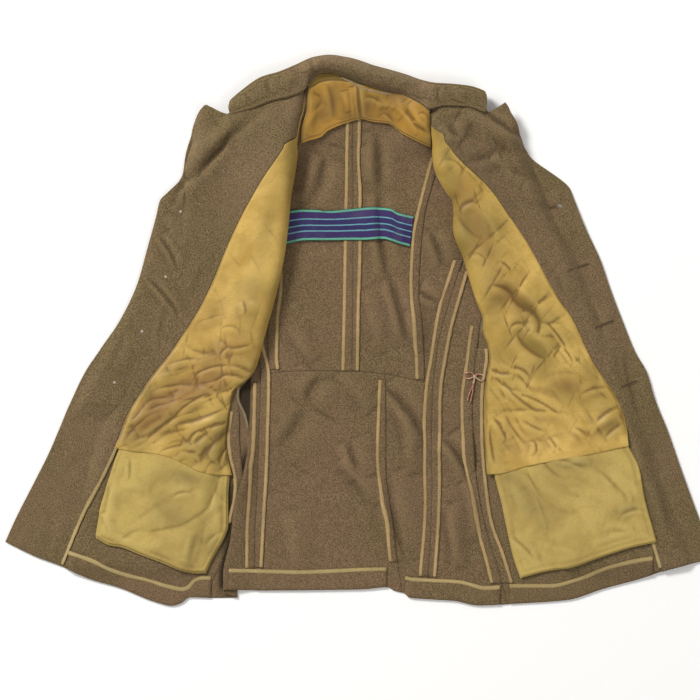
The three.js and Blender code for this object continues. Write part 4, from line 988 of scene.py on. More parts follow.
class Front:
    """One front: g is -1 for the wearer's right and 1 for the left, from the middle outwards."""

    def __init__(self, g, roll, edge, facing, near, sleeve, buttons, start, roll_end, near_top):
        """Each section is a roll of radius r up to height h, then a slope to what lies below."""
        self.g, self.edge, self.facing, self.near, self.near_top = g, edge, facing, near, near_top
        self.start = start
        self.sleeve = [curve(sleeve, 0, k) for k in (1, 2, 3)]
        self.buttons = curve([(y, x) for x, y in buttons]) if buttons else None
        self.ys = np.linspace(LOWEST, HIGHEST, SECTIONS)
        self.first, self.step = self.ys[0], self.ys[1] - self.ys[0]
        y = self.ys[:, None]
        h = np.where(y > roll_end, np.maximum(0, curve(roll, 0, 2)(np.minimum(y, 333))), 0.0)
        begin = start(y)
        width = (edge(y) - begin) * g
        r = np.maximum(8.0, h / 2)
        neck = smooth((y - 235) / 30)
        under = np.where(h > 8, -50 * smooth((h - 8) / 14), 60 * (1 - h / 8))
        turn = np.radians(lerp(under, 25.0, neck))
        lip = lerp(6 * smooth(h / 16), 0.6 * h, neck)
        k = np.linspace(0, 1, ROLL_STEPS + 1)[None, :]
        angle = lerp(turn, np.pi / 2, k)
        arc = (np.sin(angle) - np.sin(turn)) / (1 - np.sin(turn))
        rise = lerp(smooth(k), arc, smooth((h - 4) / 6))
        roll_d = r * (np.cos(np.maximum(turn, 0)) - np.cos(angle))
        roll_z = lerp(lip, h, rise)
        m = np.linspace(0, 1, SLOPE_STEPS + 1)[None, 1:]
        slope_d = lerp(roll_d[:, -1:], width, m)
        t = np.clip((slope_d - roll_d[:, -1:]) / np.maximum(30, 2.6 * h), 0, 1)
        ground = self.cover(begin + g * slope_d, np.broadcast_to(y, slope_d.shape))
        slope_z = lerp(ground, h, (1 - t) ** 2 * (1 + 2 * t))
        d = np.concatenate([roll_d, slope_d], axis=1)
        z = np.concatenate([roll_z, slope_z], axis=1)
        run = np.hypot(np.diff(d, axis=1), np.diff(z, axis=1))
        self.length = np.concatenate([np.zeros((len(y), 1)), np.cumsum(run, axis=1)], axis=1)
        self.total = self.length[:, -1]
        share = np.linspace(0, 1, SHARES)
        rows = range(len(self.ys))
        self.x = np.stack([
            np.interp(share * self.total[i], self.length[i], begin[i] + g * d[i]) for i in rows
        ])
        self.z = np.stack([np.interp(share * self.total[i], self.length[i], z[i]) for i in rows])
        self.r = r[:, 0]

    def cover(self, x, y):
        """Height of the sleeve and the buttons beneath the front, with its large folds."""
        d = x * self.g
        at = np.minimum(y, 262)
        inner, outer = self.sleeve[0](at) * self.g, self.sleeve[1](at) * self.g
        across = smooth((d - inner + 26) / 20) * smooth((outer + 26 - d) / 20)
        z = (np.maximum(5.5, self.sleeve[2](at)) + 0.7) * across * smooth((y + 350) / 28)
        if self.buttons is not None:
            away = np.abs(x - self.buttons(y))
            along = smooth((y + 130) / 35) * smooth((225 - y) / 35)
            dome = (BUTTON_HEIGHT + 0.8) * along * (1 - smooth((away - BUTTON_RADIUS - 9) / 22))
            z = np.maximum(z, dome)
        return np.maximum(0, z + large_fold(x, y) * smooth((z - 3) / 6))

    def row(self, y):
        """Row of the fine table at height y."""
        return (y - self.first) / self.step

    def total_at(self, y):
        """Length of the section at height y."""
        return np.interp(y, self.ys, self.total)

    def along(self, y, distance):
        """x and z of the cloth a distance from its inner line, at height y."""
        column = np.clip(distance / self.total_at(y), 0, 1) * (SHARES - 1)
        return look_up(self.x, self.row(y), column), look_up(self.z, self.row(y), column)

    def distance_at(self, y, x):
        """Distance along the section of the place above x, past the roll."""
        r = np.interp(y, self.ys, self.r)
        width = (self.edge(y) - self.start(y)) * self.g
        m = ((x - self.start(y)) * self.g - r) / (width - r)
        return look_up(self.length, self.row(y), ROLL_STEPS + np.clip(m, 0, 1) * SLOPE_STEPS)

    def near_at(self, y):
        """Where the lining starts: a few millimetres from the inner line."""
        return np.maximum(3.0, self.near(np.minimum(y, self.near_top)))

    def facing_at(self, y):
        """The facing's inner edge; near the collar it runs down into the roll and hides the lining."""
        edge = np.maximum(self.near_at(y) + 3, self.distance_at(y, self.facing(y)))
        return lerp(edge, self.near_at(y) + 2.5, smooth((y - (258 if self.g < 0 else 272)) / 16))

    def height(self, x, y):
        """Height of the bare cloth above a place on the table."""
        return self.along(y, self.distance_at(y, x))[1]

    def patch(self, d0, d1, row0, row1, across, along, power=1.0):
        """Grid of points between two distances d(y) and two ends y(x)."""
        u, v = unit_grid(across, along)
        u = u**power
        y = lerp(-300.0, 250.0, v)
        for _ in range(12):
            x, z = self.along(y, lerp(d0(y), d1(y), u))
            y = lerp(y, lerp(row0(x), row1(x), v), 0.8)
        return np.stack([x, y, z], axis=-1)


inner_r, inner_l = curve(ROLL_R), curve(ROLL_L)


def start_r(y):
    """The right front's inner line: the roll, then the seam under the arm."""
    low = UNDERARM_R(y) - SEAM - 2.8 * smooth((y + 116) / 24)
    return np.where(y > -85, inner_r(y), low)


def start_l(y):
    """The left front's inner line: the roll, then the seam under the arm."""
    return np.where(y > 5, inner_l(y), UNDERARM_L(y) + SEAM)


right = Front(-1, ROLL_R, EDGE_R, FACING_R, NEAR_R, SLEEVE_R, BUTTONS, start_r, -100, -55)
left = Front(1, ROLL_L, EDGE_L, FACING_L, NEAR_L, SLEEVE_L, [], start_l, -16, 16)
print("widest front", round(float(right.total.max())), round(float(left.total.max())), "mm")

# %% [markdown]
# ## Outer wool and facing of the fronts
#
# The outer wool runs the whole width of a front. On its outer third lies the facing, the same
# wool turned inside, which carries on above as the lapel. Long shallow folds run down both; two
# deeper ones cross the left chest.

# %% Folds of the wool fronts, then outer wool and facings
WOOL_FOLDS_R = [
    (-279, 134, -253, 89, -2.2, 4.5, 2), (-295, 75, -252, 24, -2, 4.5, 2),
    (-272, 162, -246, 117, 1, 9, 2), (-319, 2, -336, -57, 1.2, 12, 3),
    (-417, -208, -375, -166, -0.9, 14, 5), (-361, -152, -384, -236, 1, 14, 4),
    (-333, -85, -305, -29, -1, 12, 4), (-417, -250, -431, -320, 1, 14, 4),
    (-246, 44, -214, 111, 1, 12, 4), (-235, 212, -260, 167, 1.3, 8, 3), (-207, 254, -171, 288, 1.2, 7, 3),
    (-262, 190, -225, 221, -3, 9, 0), (-229, 216, -178, 271, -3.2, 9, 0),
    (-182, 268, -120, 318, -2.6, 9, 0), (-251, 209, -162, 303, 2.6, 11, 3),
]
WOOL_FOLDS_L = [
    (126, 279, 144, 268, -2.6, 6, 2), (148, 237, 195, 253, -2.8, 8, -4), (171, 254, 216, 218, 1.6, 10, 4),
    (192, 233, 255, 204, -1.3, 9, 4), (227, 198, 283, 184, 1.2, 10, -4),
    (249, 153, 311, 100, -0.8, 15, 5), (262, 114, 300, 44, 1.2, 10, 4), (283, 142, 325, 58, -0.5, 14, 3),
    (333, 44, 353, -57, 1.2, 10, 4), (372, -20, 395, -124, -1.2, 9, -4),
    (361, -124, 423, -264, 1.2, 14, 5), (409, -194, 437, -292, -1.2, 9, 4),
    (384, -152, 395, -208, 1.2, 8, 3), (157, 285, 199, 254, 1.2, 8, 3), (283, 163, 304, 121, -0.5, 11, 3),
    (150, 318, 234, 264, -3.5, 7, 0), (141, 306, 228, 254, 2.2, 11, 0), (120, 290, 136, 262, -2.4, 7, 3),
]
RUMPLES_R = scattered(21, 30, (-460, -170, -350, 300), 62, 30, (25, 70), (0.2, 0.7), (5, 11))
RUMPLES_L = scattered(22, 30, (140, 460, -350, 300), 118, 30, (25, 70), (0.2, 0.7), (5, 11))


def wool_relief(s, x, y):
    """Folds of a wool front: soft ones listed one by one and a scatter of faint ones."""
    folds, rumples = (WOOL_FOLDS_R, RUMPLES_R) if s is right else (WOOL_FOLDS_L, RUMPLES_L)
    small = creases(x, y, rumples)
    return np.maximum(0.0, 0.3 + 1.5 * creases(x, y, folds) + small - 0.4 * np.tanh(small))


def on_front(name, s, grid, material, thickness, lift, nodes, extra=None, fields=None):
    """A piece of cloth on a front: it follows the wool's folds and has its own on top."""
    relief = wool_relief(s, grid[..., 0], grid[..., 1])
    if extra is not None:
        relief = relief + extra
    return shell(name, grid, material, thickness, lift, relief, fields, nodes)


def round_corner(grid, radius=5.0):
    """Pulls the last corner of a grid in along a quarter circle."""
    corner = grid[-1, -1].copy()
    towards_u = grid[-1, -9] - corner
    towards_v = grid[-9, -1] - corner
    a = towards_u / np.linalg.norm(towards_u)
    b = towards_v / np.linalg.norm(towards_v)
    gram = np.array([[a @ a, a @ b], [a @ b, b @ b]])
    offset = grid - corner
    share = np.linalg.solve(gram, np.stack([(offset @ a).ravel(), (offset @ b).ravel()]))
    p, q = (v.reshape(grid.shape[:2]) for v in share)
    near = (p < radius) & (q < radius) & (np.hypot(p - radius, q - radius) > radius)
    size = np.maximum(np.hypot(p - radius, q - radius), 1e-6)
    new_p = radius + (p - radius) * radius / size
    new_q = radius + (q - radius) * radius / size
    shift = (new_p - p)[..., None] * a + (new_q - q)[..., None] * b
    return grid + np.where(near[..., None], shift, 0.0)


OVER = WOOL + GAP
fronts = {"r": (right, HEM_R, GORGE_R), "l": (left, HEM_L, GORGE_L)}
cloths = {}


def under_collar(s, gorge):
    """The upper end of a front: 5 mm of it lie under the collar, none beyond the notch."""
    return lambda x: gorge(x) - 0.4 + 5.4 * smooth((181 - s.g * x) / 5)


for end, (s, hem, gorge) in fronts.items():
    top = under_collar(s, gorge)
    whole = s.patch(level(0.0), s.total_at, hem, top, 72, 120)
    x, y = whole[..., 0], whole[..., 1]
    # by_pleat is painted shade on the front beside the pleat, where the fold keeps the light out.
    by_pleat = 0.85 * smooth((x + 196) / 14) * smooth((-190 - y) / 40)
    shade = dict(deep=by_pleat if s is right else np.zeros_like(x))
    outer_wool = on_front(
        f"cloth_front_{end}", s, whole, wool, WOOL, 0.0, [f"front_{end}"], None, shade
    )
    face = s.patch(lambda y: s.facing_at(y) + SEAM, s.total_at, hem, top, 60, 250)
    face = round_corner(face)
    facing = on_front(f"cloth_facing_{end}", s, face, wool_facing, WOOL, OVER, [f"facing_{end}"])
    cloths[end] = (outer_wool, facing)
print("fronts", len(outer_wool.data.vertices), "facings", len(facing.data.vertices), "vertices")

# %% [markdown]
# ## Linings of the fronts
#
# Each lining is sewn to the facing along one side and falls over the roll on the other, and it
# ends in a hem above the pocket bag. It has far more creases than the wool: long diagonal
# folds that gather towards the side seam, sharp small ones near the hem, and olive and rusty
# shades in places. The folds are listed one by one. A seeded scatter of small ones and a web of
# facets are laid over them, mostly in the lower half, where the photograph is busiest.

# %% Creases of the two linings
LINING_FOLDS_R = [
    (-159, 42, -156, 22, -1.2, 5, 2), (-190, 5, -164, 3, -0.8, 4, 3), (-228, 10, -186, 23, -0.6, 6, 3),
    (-241, -20, -196, -30, -1.6, 8, -4), (-193, -36, -180, -21, -1.4, 4, 2),
    (-182, -22, -147, -16, -1.5, 4, -3), (-268, -48, -214, -38, -1.4, 6, 4),
    (-262, -58, -236, -40, 1.2, 8, 3), (-228, -60, -178, -47, -2.2, 5, 4),
    (-180, -47, -150, -56, -1.8, 5, 3), (-225, -72, -188, -62, -1.8, 5, -3),
    (-190, -62, -152, -66, -1.6, 5, 3), (-290, -84, -224, -75, -1.6, 6, 5),
    (-226, -75, -196, -84, -1.5, 5, 3), (-258, -92, -186, -72, 1.8, 7, -4),
    (-327, -154, -282, -112, -1.6, 6, 5), (-308, -144, -262, -116, 2, 6, -4),
    (-318, -132, -290, -96, -1.2, 6, 3), (-296, -152, -232, -112, -1.6, 5, 6),
    (-268, -132, -214, -88, -2, 6, 5), (-255, -128, -187, -106, -2.2, 6, -5),
    (-240, -146, -180, -122, 1.8, 7, 5), (-237, -154, -222, -137, -2.2, 5, 2),
    (-215, -133, -177, -118, -2.8, 6, -4), (-212, -172, -178, -138, -2.8, 7, 5),
    (-228, -178, -204, -152, 1.8, 7, 3), (-198, -186, -182, -160, -2.2, 5, 3),
    (-250, -166, -218, -176, -1.4, 5, 3), (-188, -104, -170, -92, -2, 5, -2),
    (-190, -96, -160, -78, 1.6, 6, 3), (-300, -100, -262, -92, -1.2, 5, 3),
    (-280, -170, -240, -158, -1, 6, 3), (-168, 97, -120, 136, 0.9, 12, -4),
    (-150, -2, -134, 44, -0.7, 8, 0), (-200, 60, -140, 92, 0.7, 14, 4),
    (-332, -140, -206, -96, 1.6, 12, 8), (-318, -120, -170, -78, -1.4, 10, 8),
    (-282, -74, -160, -40, 1.2, 12, 6),
]
LINING_FOLDS_L = [
    (120, 240, 146, 226, -1.6, 6, 4), (136, 233, 175, 191, -1.8, 8, 4), (146, 226, 170, 205, 1.4, 6, 3),
    (143, 173, 165, 180, -2.2, 5, 3), (140, 166, 176, 127, -4.6, 13, -6), (160, 176, 196, 128, 2.2, 9, 5),
    (160, 109, 177, 101, -1.6, 5, 2), (196, 98, 212, 84, -0.8, 5, 2), (186, 66, 218, 48, -4.2, 8, 4),
    (214, 50, 243, 27, -4.8, 9, -3), (238, 32, 255, 4, -4.6, 9, 4), (252, 12, 252, -6, -2, 7, 0),
    (200, 76, 262, 24, 3.6, 11, 5), (211, 4, 232, 12, -1.6, 5, 3), (222, -4, 262, -38, -4.8, 10, -5),
    (236, -2, 276, -30, 3.2, 9, 4), (262, 14, 292, -26, -1.2, 3, 2), (283, -20, 300, -44, -0.9, 3, 2),
    (182, -52, 218, -58, -2.2, 5, -3), (214, -50, 240, -62, -2, 5, 3), (190, -62, 232, -84, -1.6, 6, -4),
    (203, -65, 256, -114, -1.2, 4, -6), (218, -86, 281, -116, -1.2, 4, 4),
    (240, -70, 296, -98, 1.2, 9, 6), (310, -88, 352, -78, -1.4, 4, 3), (313, -36, 338, -70, -2, 10, 4),
    (262, -62, 310, -60, -1, 10, 4), (331, -128, 367, -104, -2.6, 7, 3),
    (322, -142, 366, -118, 1.8, 7, 3), (344, -148, 372, -128, -1.8, 6, 2),
    (189, -121, 207, -153, -2, 5, 3), (184, -132, 192, -186, -1.6, 6, -2),
    (200, -122, 204, -142, 1.2, 4, 2), (228, -121, 262, -139, -0.8, 4, -3),
    (246, -153, 248, -171, -1.3, 3, 2), (268, -150, 276, -166, -0.9, 3, 2),
    (300, -134, 320, -146, -0.9, 4, 2), (180, -114, 300, -116, -0.9, 6, 6),
]
SMALL_R = np.concatenate([
    scattered(31, 60, (-330, -170, -195, -40), 28, 22, (12, 40), (0.3, 1.1), (1.8, 4)),
    scattered(32, 40, (-290, -110, -40, 150), 30, 35, (14, 45), (0.15, 0.6), (2, 5)),
    scattered(33, 14, (-160, -80, 150, 280), 60, 25, (14, 40), (0.15, 0.5), (2, 5)),
])
SMALL_L = np.concatenate([
    scattered(41, 60, (180, 375, -195, -40), -28, 30, (12, 40), (0.3, 1.0), (1.8, 4)),
    scattered(42, 50, (150, 340, -40, 160), -48, 28, (14, 48), (0.25, 0.9), (2, 5)),
    scattered(43, 16, (105, 200, 160, 290), -50, 25, (10, 32), (0.3, 1.0), (2, 4)),
])


# %% Stains and painted shade of the linings, and the lining pieces
def blots(x, y, rows):
    """Soft round blots of staining and of painted shade: strength * exp(-((x - cx) / rx)^2 - ((y - cy) /
    ry)^2), turned.
    """
    amount = np.zeros_like(x)
    for cx, cy, rx, ry, turn, strength in rows:
        c, s = math.cos(math.radians(turn)), math.sin(math.radians(turn))
        a = ((x - cx) * c + (y - cy) * s) / rx
        b = ((y - cy) * c - (x - cx) * s) / ry
        amount += strength * np.exp(-a * a - b * b)
    return np.clip(amount, 0.0, 1.0)


# Olive blots: partly staining, and partly painted shade beside the roll and along the deepest folds.
OLIVE_R = [
    (-300, -132, 34, 26, 30, 0.6), (-285, -95, 16, 30, 30, 0.35), (-92, 180, 9, 90, 4, 0.4),
    (-295, -85, 12, 34, 40, 0.45), (-205, -160, 40, 14, 30, 0.35), (-188, -130, 12, 30, 30, 0.4),
    (-262, -60, 26, 9, 45, 0.5), (-200, -150, 45, 30, 20, 0.38), (-190, -185, 30, 12, 0, 0.35),
    (-125, 150, 12, 60, -12, 0.45), (-150, 30, 14, 60, -12, 0.35), (-320, -150, 14, 16, 0, 0.35),
    (-165, -60, 12, 34, -20, 0.4), (-95, 260, 8, 40, -8, 0.35),
]
RUST_R = [
    (-245, -86, 60, 17, 20, 0.6), (-205, -62, 46, 20, 24, 0.5), (-285, -120, 46, 22, 35, 0.4),
    (-215, 20, 60, 20, 25, 0.25), (-190, -25, 46, 14, 24, 0.5), (-270, -35, 22, 14, 50, 0.4),
    (-300, -130, 26, 14, 30, 0.3),
]
OLIVE_L = [
    (130, 215, 12, 60, 14, 0.5), (150, 130, 12, 44, 8, 0.5), (190, 20, 12, 60, 14, 0.3),
    (288, -78, 22, 17, 0, 0.45), (234, 36, 34, 8, -40, 0.75), (246, -22, 26, 8, -40, 0.8),
    (325, -60, 9, 36, 32, 0.5), (165, 155, 22, 34, 30, 0.55), (236, 25, 30, 18, -40, 0.4),
    (262, -50, 20, 14, -30, 0.3), (112, 290, 8, 26, 10, 0.5), (330, -100, 30, 20, -30, 0.4),
    (350, -135, 24, 14, 20, 0.45), (150, 112, 14, 20, 0, 0.25), (124, 246, 10, 10, 0, 0.4),
    (370, -60, 10, 40, 25, 0.3),
]
RUST_L = [
    (172, 130, 14, 44, 24, 0.45), (150, 190, 12, 30, 30, 0.4), (205, 60, 16, 30, 30, 0.35),
    (290, -75, 22, 12, 0, 0.5), (205, 190, 22, 8, -45, 0.35), (240, 150, 8, 40, 35, 0.25),
    (225, 40, 30, 12, -30, 0.35), (220, -150, 40, 26, 0, 0.25), (300, 20, 10, 44, 32, 0.25),
]
LINING_LIFT = OVER + 0.15


def make_lining(end, s, gorge, line, folds, small, olive, rust, across):
    """Lining from the bound seam, over the roll, to the facing; its lower edge is a hem."""
    along = 250
    grid = s.patch(s.near_at, s.facing_at, moved(line, -3.2), moved(gorge, -3.5), across, along, 1.15)
    x, y = grid[..., 0], grid[..., 1]
    u, _ = unit_grid(across, along)
    fall = smooth(u / 0.06) * smooth((1 - u) / 0.04)
    busy = 0.12 + 0.88 * smooth((-5 - y) / 60)
    busy = busy * (0.35 + 0.65 * smooth(2.4 * random_field(x / 38 + 30, y / 30 + 30, across) - 0.6))
    heading, share, scatter = (32, 0.95, 0.25) if s is right else (-42, 0.38, 0.14)
    web = 3.6 * crumple(x, y, across, heading, 24, 4.5)
    web = web + 1.1 * crumple(x, y, across + 1, heading - 12, 12, 4.0)
    extra = 0.7 * creases(x, y, folds, True) + 0.85 * creases(x, y, folds)
    extra = extra + scatter * creases(x, y, small, True) + share * busy * web
    extra = np.maximum(0.0, 0.25 + extra) * (0.1 + 0.9 * fall)
    extra = extra + 5.0 * smooth((line(x) + 34 - y) / 34)
    # side is painted shade beside the roll, added to the olive field.
    side = 0.8 * smooth((0.07 - u) / 0.05)
    shade = dict(olive=np.clip(blots(x, y, olive) + 0.5 * side, 0, 1), rust=blots(x, y, rust))
    return on_front(
        f"cloth_lining_{end}", s, grid, satin, LINING, LINING_LIFT,
        [f"lining_front_{end}"], extra, shade,
    )


lining_r = make_lining("r", right, GORGE_R, LINE_R, LINING_FOLDS_R, SMALL_R, OLIVE_R, RUST_R, 110)
lining_l = make_lining("l", left, GORGE_L, LINE_L, LINING_FOLDS_L, SMALL_L, OLIVE_L, RUST_L, 120)
print("linings", len(lining_r.data.vertices), len(lining_l.data.vertices), "vertices")

# %% [markdown]
# ## Pocket bags
#
# Two leaves of drill hang below each lining, sewn together round three sides a few millimetres
# in from their raw edge. The under leaf has slipped a little to one side. The stitching pulls
# the cloth down in a fine groove.

# %% Pocket bags
BAG_FOLDS_R = [
    (-228, -278, -241, -324, -1.6, 4, 0), (-319, -177, -321, -208, -1.2, 3.5, 1),
    (-295, -227, -255, -289, -1.6, 12, 6), (-252, -194, -227, -214, -1.2, 10, 3),
    (-356, -253, -344, -285, 1.6, 5, 2), (-344, -194, -347, -264, 1.2, 6, 2),
    (-260, -230, -232, -225, -1.2, 4, 3), (-221, -264, -188, -236, 1.4, 9, 4),
    (-202, -208, -190, -292, -1.4, 7, 4), (-333, -216, -291, -222, 0.8, 7, 3),
    (-353, -284, -277, -320, 1.2, 5, 3), (-288, -292, -246, -331, 1, 9, 3),
    (-214, -299, -192, -279, -1.4, 4, 2),
]
BAG_FOLDS_L = [
    (241, -216, 272, -278, -1.8, 11, 5), (216, -194, 235, -264, 1.2, 9, -4),
    (272, -178, 316, -191, -1.6, 4, 3), (283, -186, 325, -183, 1.4, 5, 3),
    (364, -258, 395, -247, -1.8, 4, 2), (344, -270, 384, -278, 1.2, 7, 3),
    (213, -286, 248, -320, -1.6, 4, 2), (202, -278, 227, -320, 1, 6, 3),
    (339, -194, 364, -233, -1.2, 6, 4), (300, -236, 339, -292, 1, 10, 4),
    (325, -300, 389, -281, 1.2, 5, 3), (378, -216, 386, -250, -1.2, 5, 2),
    (262, -292, 311, -309, -1, 8, 3),
]
# Bag blots: partly staining, and partly painted shade along broad folds.
BAG_STAINS_AND_SHADE_R = [
    (-240, -205, 30, 12, -10, 0.6), (-265, -250, 40, 20, -50, 0.35), (-205, -290, 14, 30, 20, 0.3),
    (-225, -300, 20, 20, 0, 0.2), (-190, -225, 16, 12, 0, 0.3),
]
BAG_STAINS_AND_SHADE_L = [
    (232, -225, 26, 40, 40, 0.35), (262, -262, 18, 26, 40, 0.3), (296, -182, 40, 8, -6, 0.3),
    (370, -250, 26, 10, 30, 0.3), (210, -205, 14, 12, 0, 0.35),
]


def wavering(t):
    """A slow wobble for a cut edge: two sines of unlike period."""
    return 1.7 * np.sin(t) + 0.9 * np.sin(2.63 * t + 1.0)


def make_bag(end, s, left_x, right_x, bottom, top, slip, folds, stains_and_shade, seed):
    """Two leaves of a pocket bag, on the height of the front beneath them."""
    lift = 2 * WOOL + 3 * GAP
    above = lift + LINING + 3 * GAP
    sides = {
        "under": (moved(left_x, slip[0]), moved(right_x, slip[1]), moved(bottom, slip[2]), lift),
        "upper": (left_x, right_x, bottom, above),
    }
    small = scattered(seed, 34, (-360, -180, -340, -170) if s is right else (190, 400, -340, -170),
                      70, 50, (12, 40), (0.15, 0.5), (2.5, 6))
    for leaf, (side_a, side_b, low, height) in sides.items():
        u, v = unit_grid(84, 76) if leaf == "upper" else unit_grid(44, 40)
        ripple = 0.5 * np.sin(wavering(v * 9.0 + seed))
        x, y = within(side_a, side_b, low, top, u, v)
        grid = raised(x, y, s.height(x, y))
        from_edge = np.minimum(np.minimum(u, 1 - u) * 170.0, v * 130.0)
        groove = 0.22 * np.exp(-(((from_edge - 6.0) / 1.2) ** 2))
        web = 2.6 * crumple(x, y, seed, 62 if s is right else -50, 42, 2.0) * smooth(from_edge / 14)
        extra = np.maximum(0.0, 0.3 + creases(x, y, folds) + 0.5 * creases(x, y, small) + web - groove)
        if leaf == "under":
            extra = np.minimum(extra * 0.4, 0.5)
        else:
            extra = extra + 0.12 * smooth(from_edge / 12)
            grid[..., 0] += ripple * smooth((0.02 - u) / 0.02)
        shade = dict(olive=blots(x, y, stains_and_shade))
        on_front(
            f"cloth_bag_{leaf}_{end}", s, grid, drill, LINING, height,
            [f"pocket_{leaf}_{end}"], extra, shade
        )


make_bag(
    "r", right,
    curve([(-162, -333), (-191, -344), (-223, -353), (-251, -361), (-285, -367)]),
    curve([(-199, -182), (-232, -184), (-272, -184), (-285, -188), (-320, -207), (-335, -214)]),
    curve([
        (-367, -285), (-347, -296), (-333, -298), (-302, -310), (-277, -319), (-245, -331),
        (-228, -335.5), (-213, -335),
    ]),
    curve([(-343, -160.5), (-325, -165), (-277, -171), (-245, -183), (-214, -197), (-178, -200)]),
    (1.0, 2.5, -3.0), BAG_FOLDS_R, BAG_STAINS_AND_SHADE_R, 51,
)
make_bag(
    "l", left,
    curve([(-198, 191), (-240, 202), (-279, 210), (-314, 218), (-343, 228)]),
    curve([(-160, 377), (-191, 392), (-234, 400), (-271, 410), (-293, 416)]),
    curve([(228, -343), (257, -335), (300, -327), (347, -311), (386, -299), (416, -293)]),
    curve([(179, -199), (192, -198.5), (241, -186), (339, -168), (379, -158)]),
    (-1.5, 1.0, -2.0), BAG_FOLDS_L, BAG_STAINS_AND_SHADE_L, 52,
)

# %% [markdown]
# ## Tapes and turn-ups
#
# Every raw edge inside the coat is bound. A tape here is a strip carried along a line, domed a
# little across its width because it is folded over the edge of the wool, with small puckers
# where the stitches pull. Beside it lies the wool seam allowance that it binds.

# %% Strips along a line
BESIDE_SEAM = 0.05
ALLOWANCE_WOOL = 0.9
HEM_TAPE_WIDTH = 6.4


def strip_grid(path, width, across, from_side=-0.5, to_side=0.5):
    """A grid along a path: the point at share u across lies off the path by its normal."""
    way = np.gradient(path, axis=0)
    way /= np.linalg.norm(way, axis=1, keepdims=True)
    beside = np.stack([way[:, 1], -way[:, 0]], axis=1)
    off = np.linspace(from_side, to_side, across + 1) * width
    return path[:, None, :] + off[None, :, None] * beside[:, None, :]


def along_y(f, low, high, step=2.5):
    """The line x = f(y) from low to high."""
    y = np.linspace(low, high, max(3, int(abs(high - low) / step)))
    return np.stack([f(y), y], axis=1)


def along_x(f, low, high, step=2.5):
    """The line y = f(x) from low to high."""
    x = np.linspace(low, high, max(3, int(abs(high - low) / step)))
    return np.stack([x, f(x)], axis=1)


def tape(name, path, height, lift, material=binding, nodes=(), width=TAPE_WIDTH, seed=0):
    """A bound edge: a dome of 0.5 (1 - u^2) over a flat strip, its sides wavering a little."""
    wobble = 1.0 + 0.08 * np.sin(path[:, 1] * 0.31 + seed)
    wobble = wobble + 0.05 * np.sin(path[:, 0] * 0.53 + path[:, 1] * 0.77)
    flat = path[:, None, :] + (strip_grid(path, width, 8) - path[:, None, :]) * wobble[:, None, None]
    base = raised(flat[..., 0], flat[..., 1], height(flat[..., 0], flat[..., 1]))
    u = np.linspace(-1, 1, 9)[None, :]
    pucker = 0.10 * np.sin(np.arange(len(path)) * 2.1 + seed)[:, None] * (1 - np.abs(u))
    dome = np.broadcast_to(0.5 * (1 - u**2) + pucker, base.shape[:2]) + 0.0
    edge = np.broadcast_to(0.85 * np.abs(u) ** 3, base.shape[:2]) + 0.0
    return shell(name, base, material, BINDING, lift, dome, dict(edge=edge), nodes)


def allowance(name, seam_line, tape_line, g, low, high, nodes, height=back_height, seed=None):
    """A seam allowance: wool from beside the seam to its tape, and the tape over its edge."""
    y = np.linspace(low, high, max(3, int((high - low) / 3)))
    near = seam_line(y) + g * BESIDE_SEAM
    far = tape_line(y)
    u = np.linspace(0, 1, 5)[None, :]
    x = lerp(near[:, None], far[:, None], u)
    y_grid = np.broadcast_to(y[:, None], x.shape) + 0.0
    lean = np.broadcast_to(0.3 * smooth(u), x.shape) + 0.0
    base = raised(x, y_grid, height(x, y_grid))
    shell(f"{name}_wool", base, wool_back, ALLOWANCE_WOOL, OVER, lean)
    path = np.stack([far, y], axis=1)
    tape(f"{name}_tape", path, height, OVER + 0.2, binding, nodes, seed=low if seed is None else seed)


# %% Tapes of the body seams
SIDE_BACK_TAPE_R = curve([(100, -108), (65, -108), (15, -113), (-36, -114), (-56, -112)])
SIDE_BACK_TAPE_L = curve([
    (250, 106), (225, 99), (183, 88), (161, 82.6), (132, 77), (61, 74), (12, 78), (-40, 82), (-69, 82.6),
])
BODY_TAPE_R = curve([
    (-20, -134), (-62, -125), (-107, -125.5), (-208, -129), (-240, -131), (-332, -136),
])
BODY_TAPE_L = curve([
    (129, 144), (83, 130), (37, 115), (1, 108), (-40, 102), (-75, 96), (-110, 93), (-180, 93), (-234, 94),
    (-344, 87),
])
SIDE_TAPE_L = curve([
    (86, 153), (45, 141), (5, 130), (-37, 122), (-75, 116), (-110, 114), (-202, 114), (-249, 113),
    (-344, 107),
])
UNDER_TAPE_BACK_L = curve([
    (36, 166), (5, 159), (-43, 152.5), (-97, 145.6), (-145, 146.7), (-188, 151), (-237, 160.6),
    (-283, 169.4), (-318, 179), (-353, 187.6),
])
CENTRE_TAPE_R = curve([(320, -14), (230, -16), (130, -17.5), (40, -19), (-56, -21)])
CENTRE_TAPE_L = curve([(320, 2), (250, 1.5), (180, 3), (130, 3), (20, 0), (-56, -1)])
allowance("centre_seam_r", CENTRE, CENTRE_TAPE_R, -1, -55, 302, ["seam_centre_r"])
allowance("centre_seam_l", CENTRE, CENTRE_TAPE_L, 1, -55, 302, ["seam_centre_l"])
allowance("side_back_seam_r", SIDE_BACK_R, SIDE_BACK_TAPE_R, 1, -53, 168, ["seam_side_back_r"])
allowance("side_back_seam_l", SIDE_BACK_L, SIDE_BACK_TAPE_L, -1, -67, 244, ["seam_side_back_l"])
allowance("side_seam_body_r", SIDE_SEAM_R, BODY_TAPE_R, 1, -330, 8, ["seam_side_body_r"])
allowance("side_seam_body_l", SIDE_SEAM_L, BODY_TAPE_L, -1, -342, 100, ["seam_side_body_l"])
allowance("side_seam_front_l", SIDE_SEAM_L, SIDE_TAPE_L, 1, -343, 84, ["seam_side_front_l"])
allowance("under_seam_back_l", UNDERARM_L, UNDER_TAPE_BACK_L, -1, -352, 8, ["seam_under_back_l"])


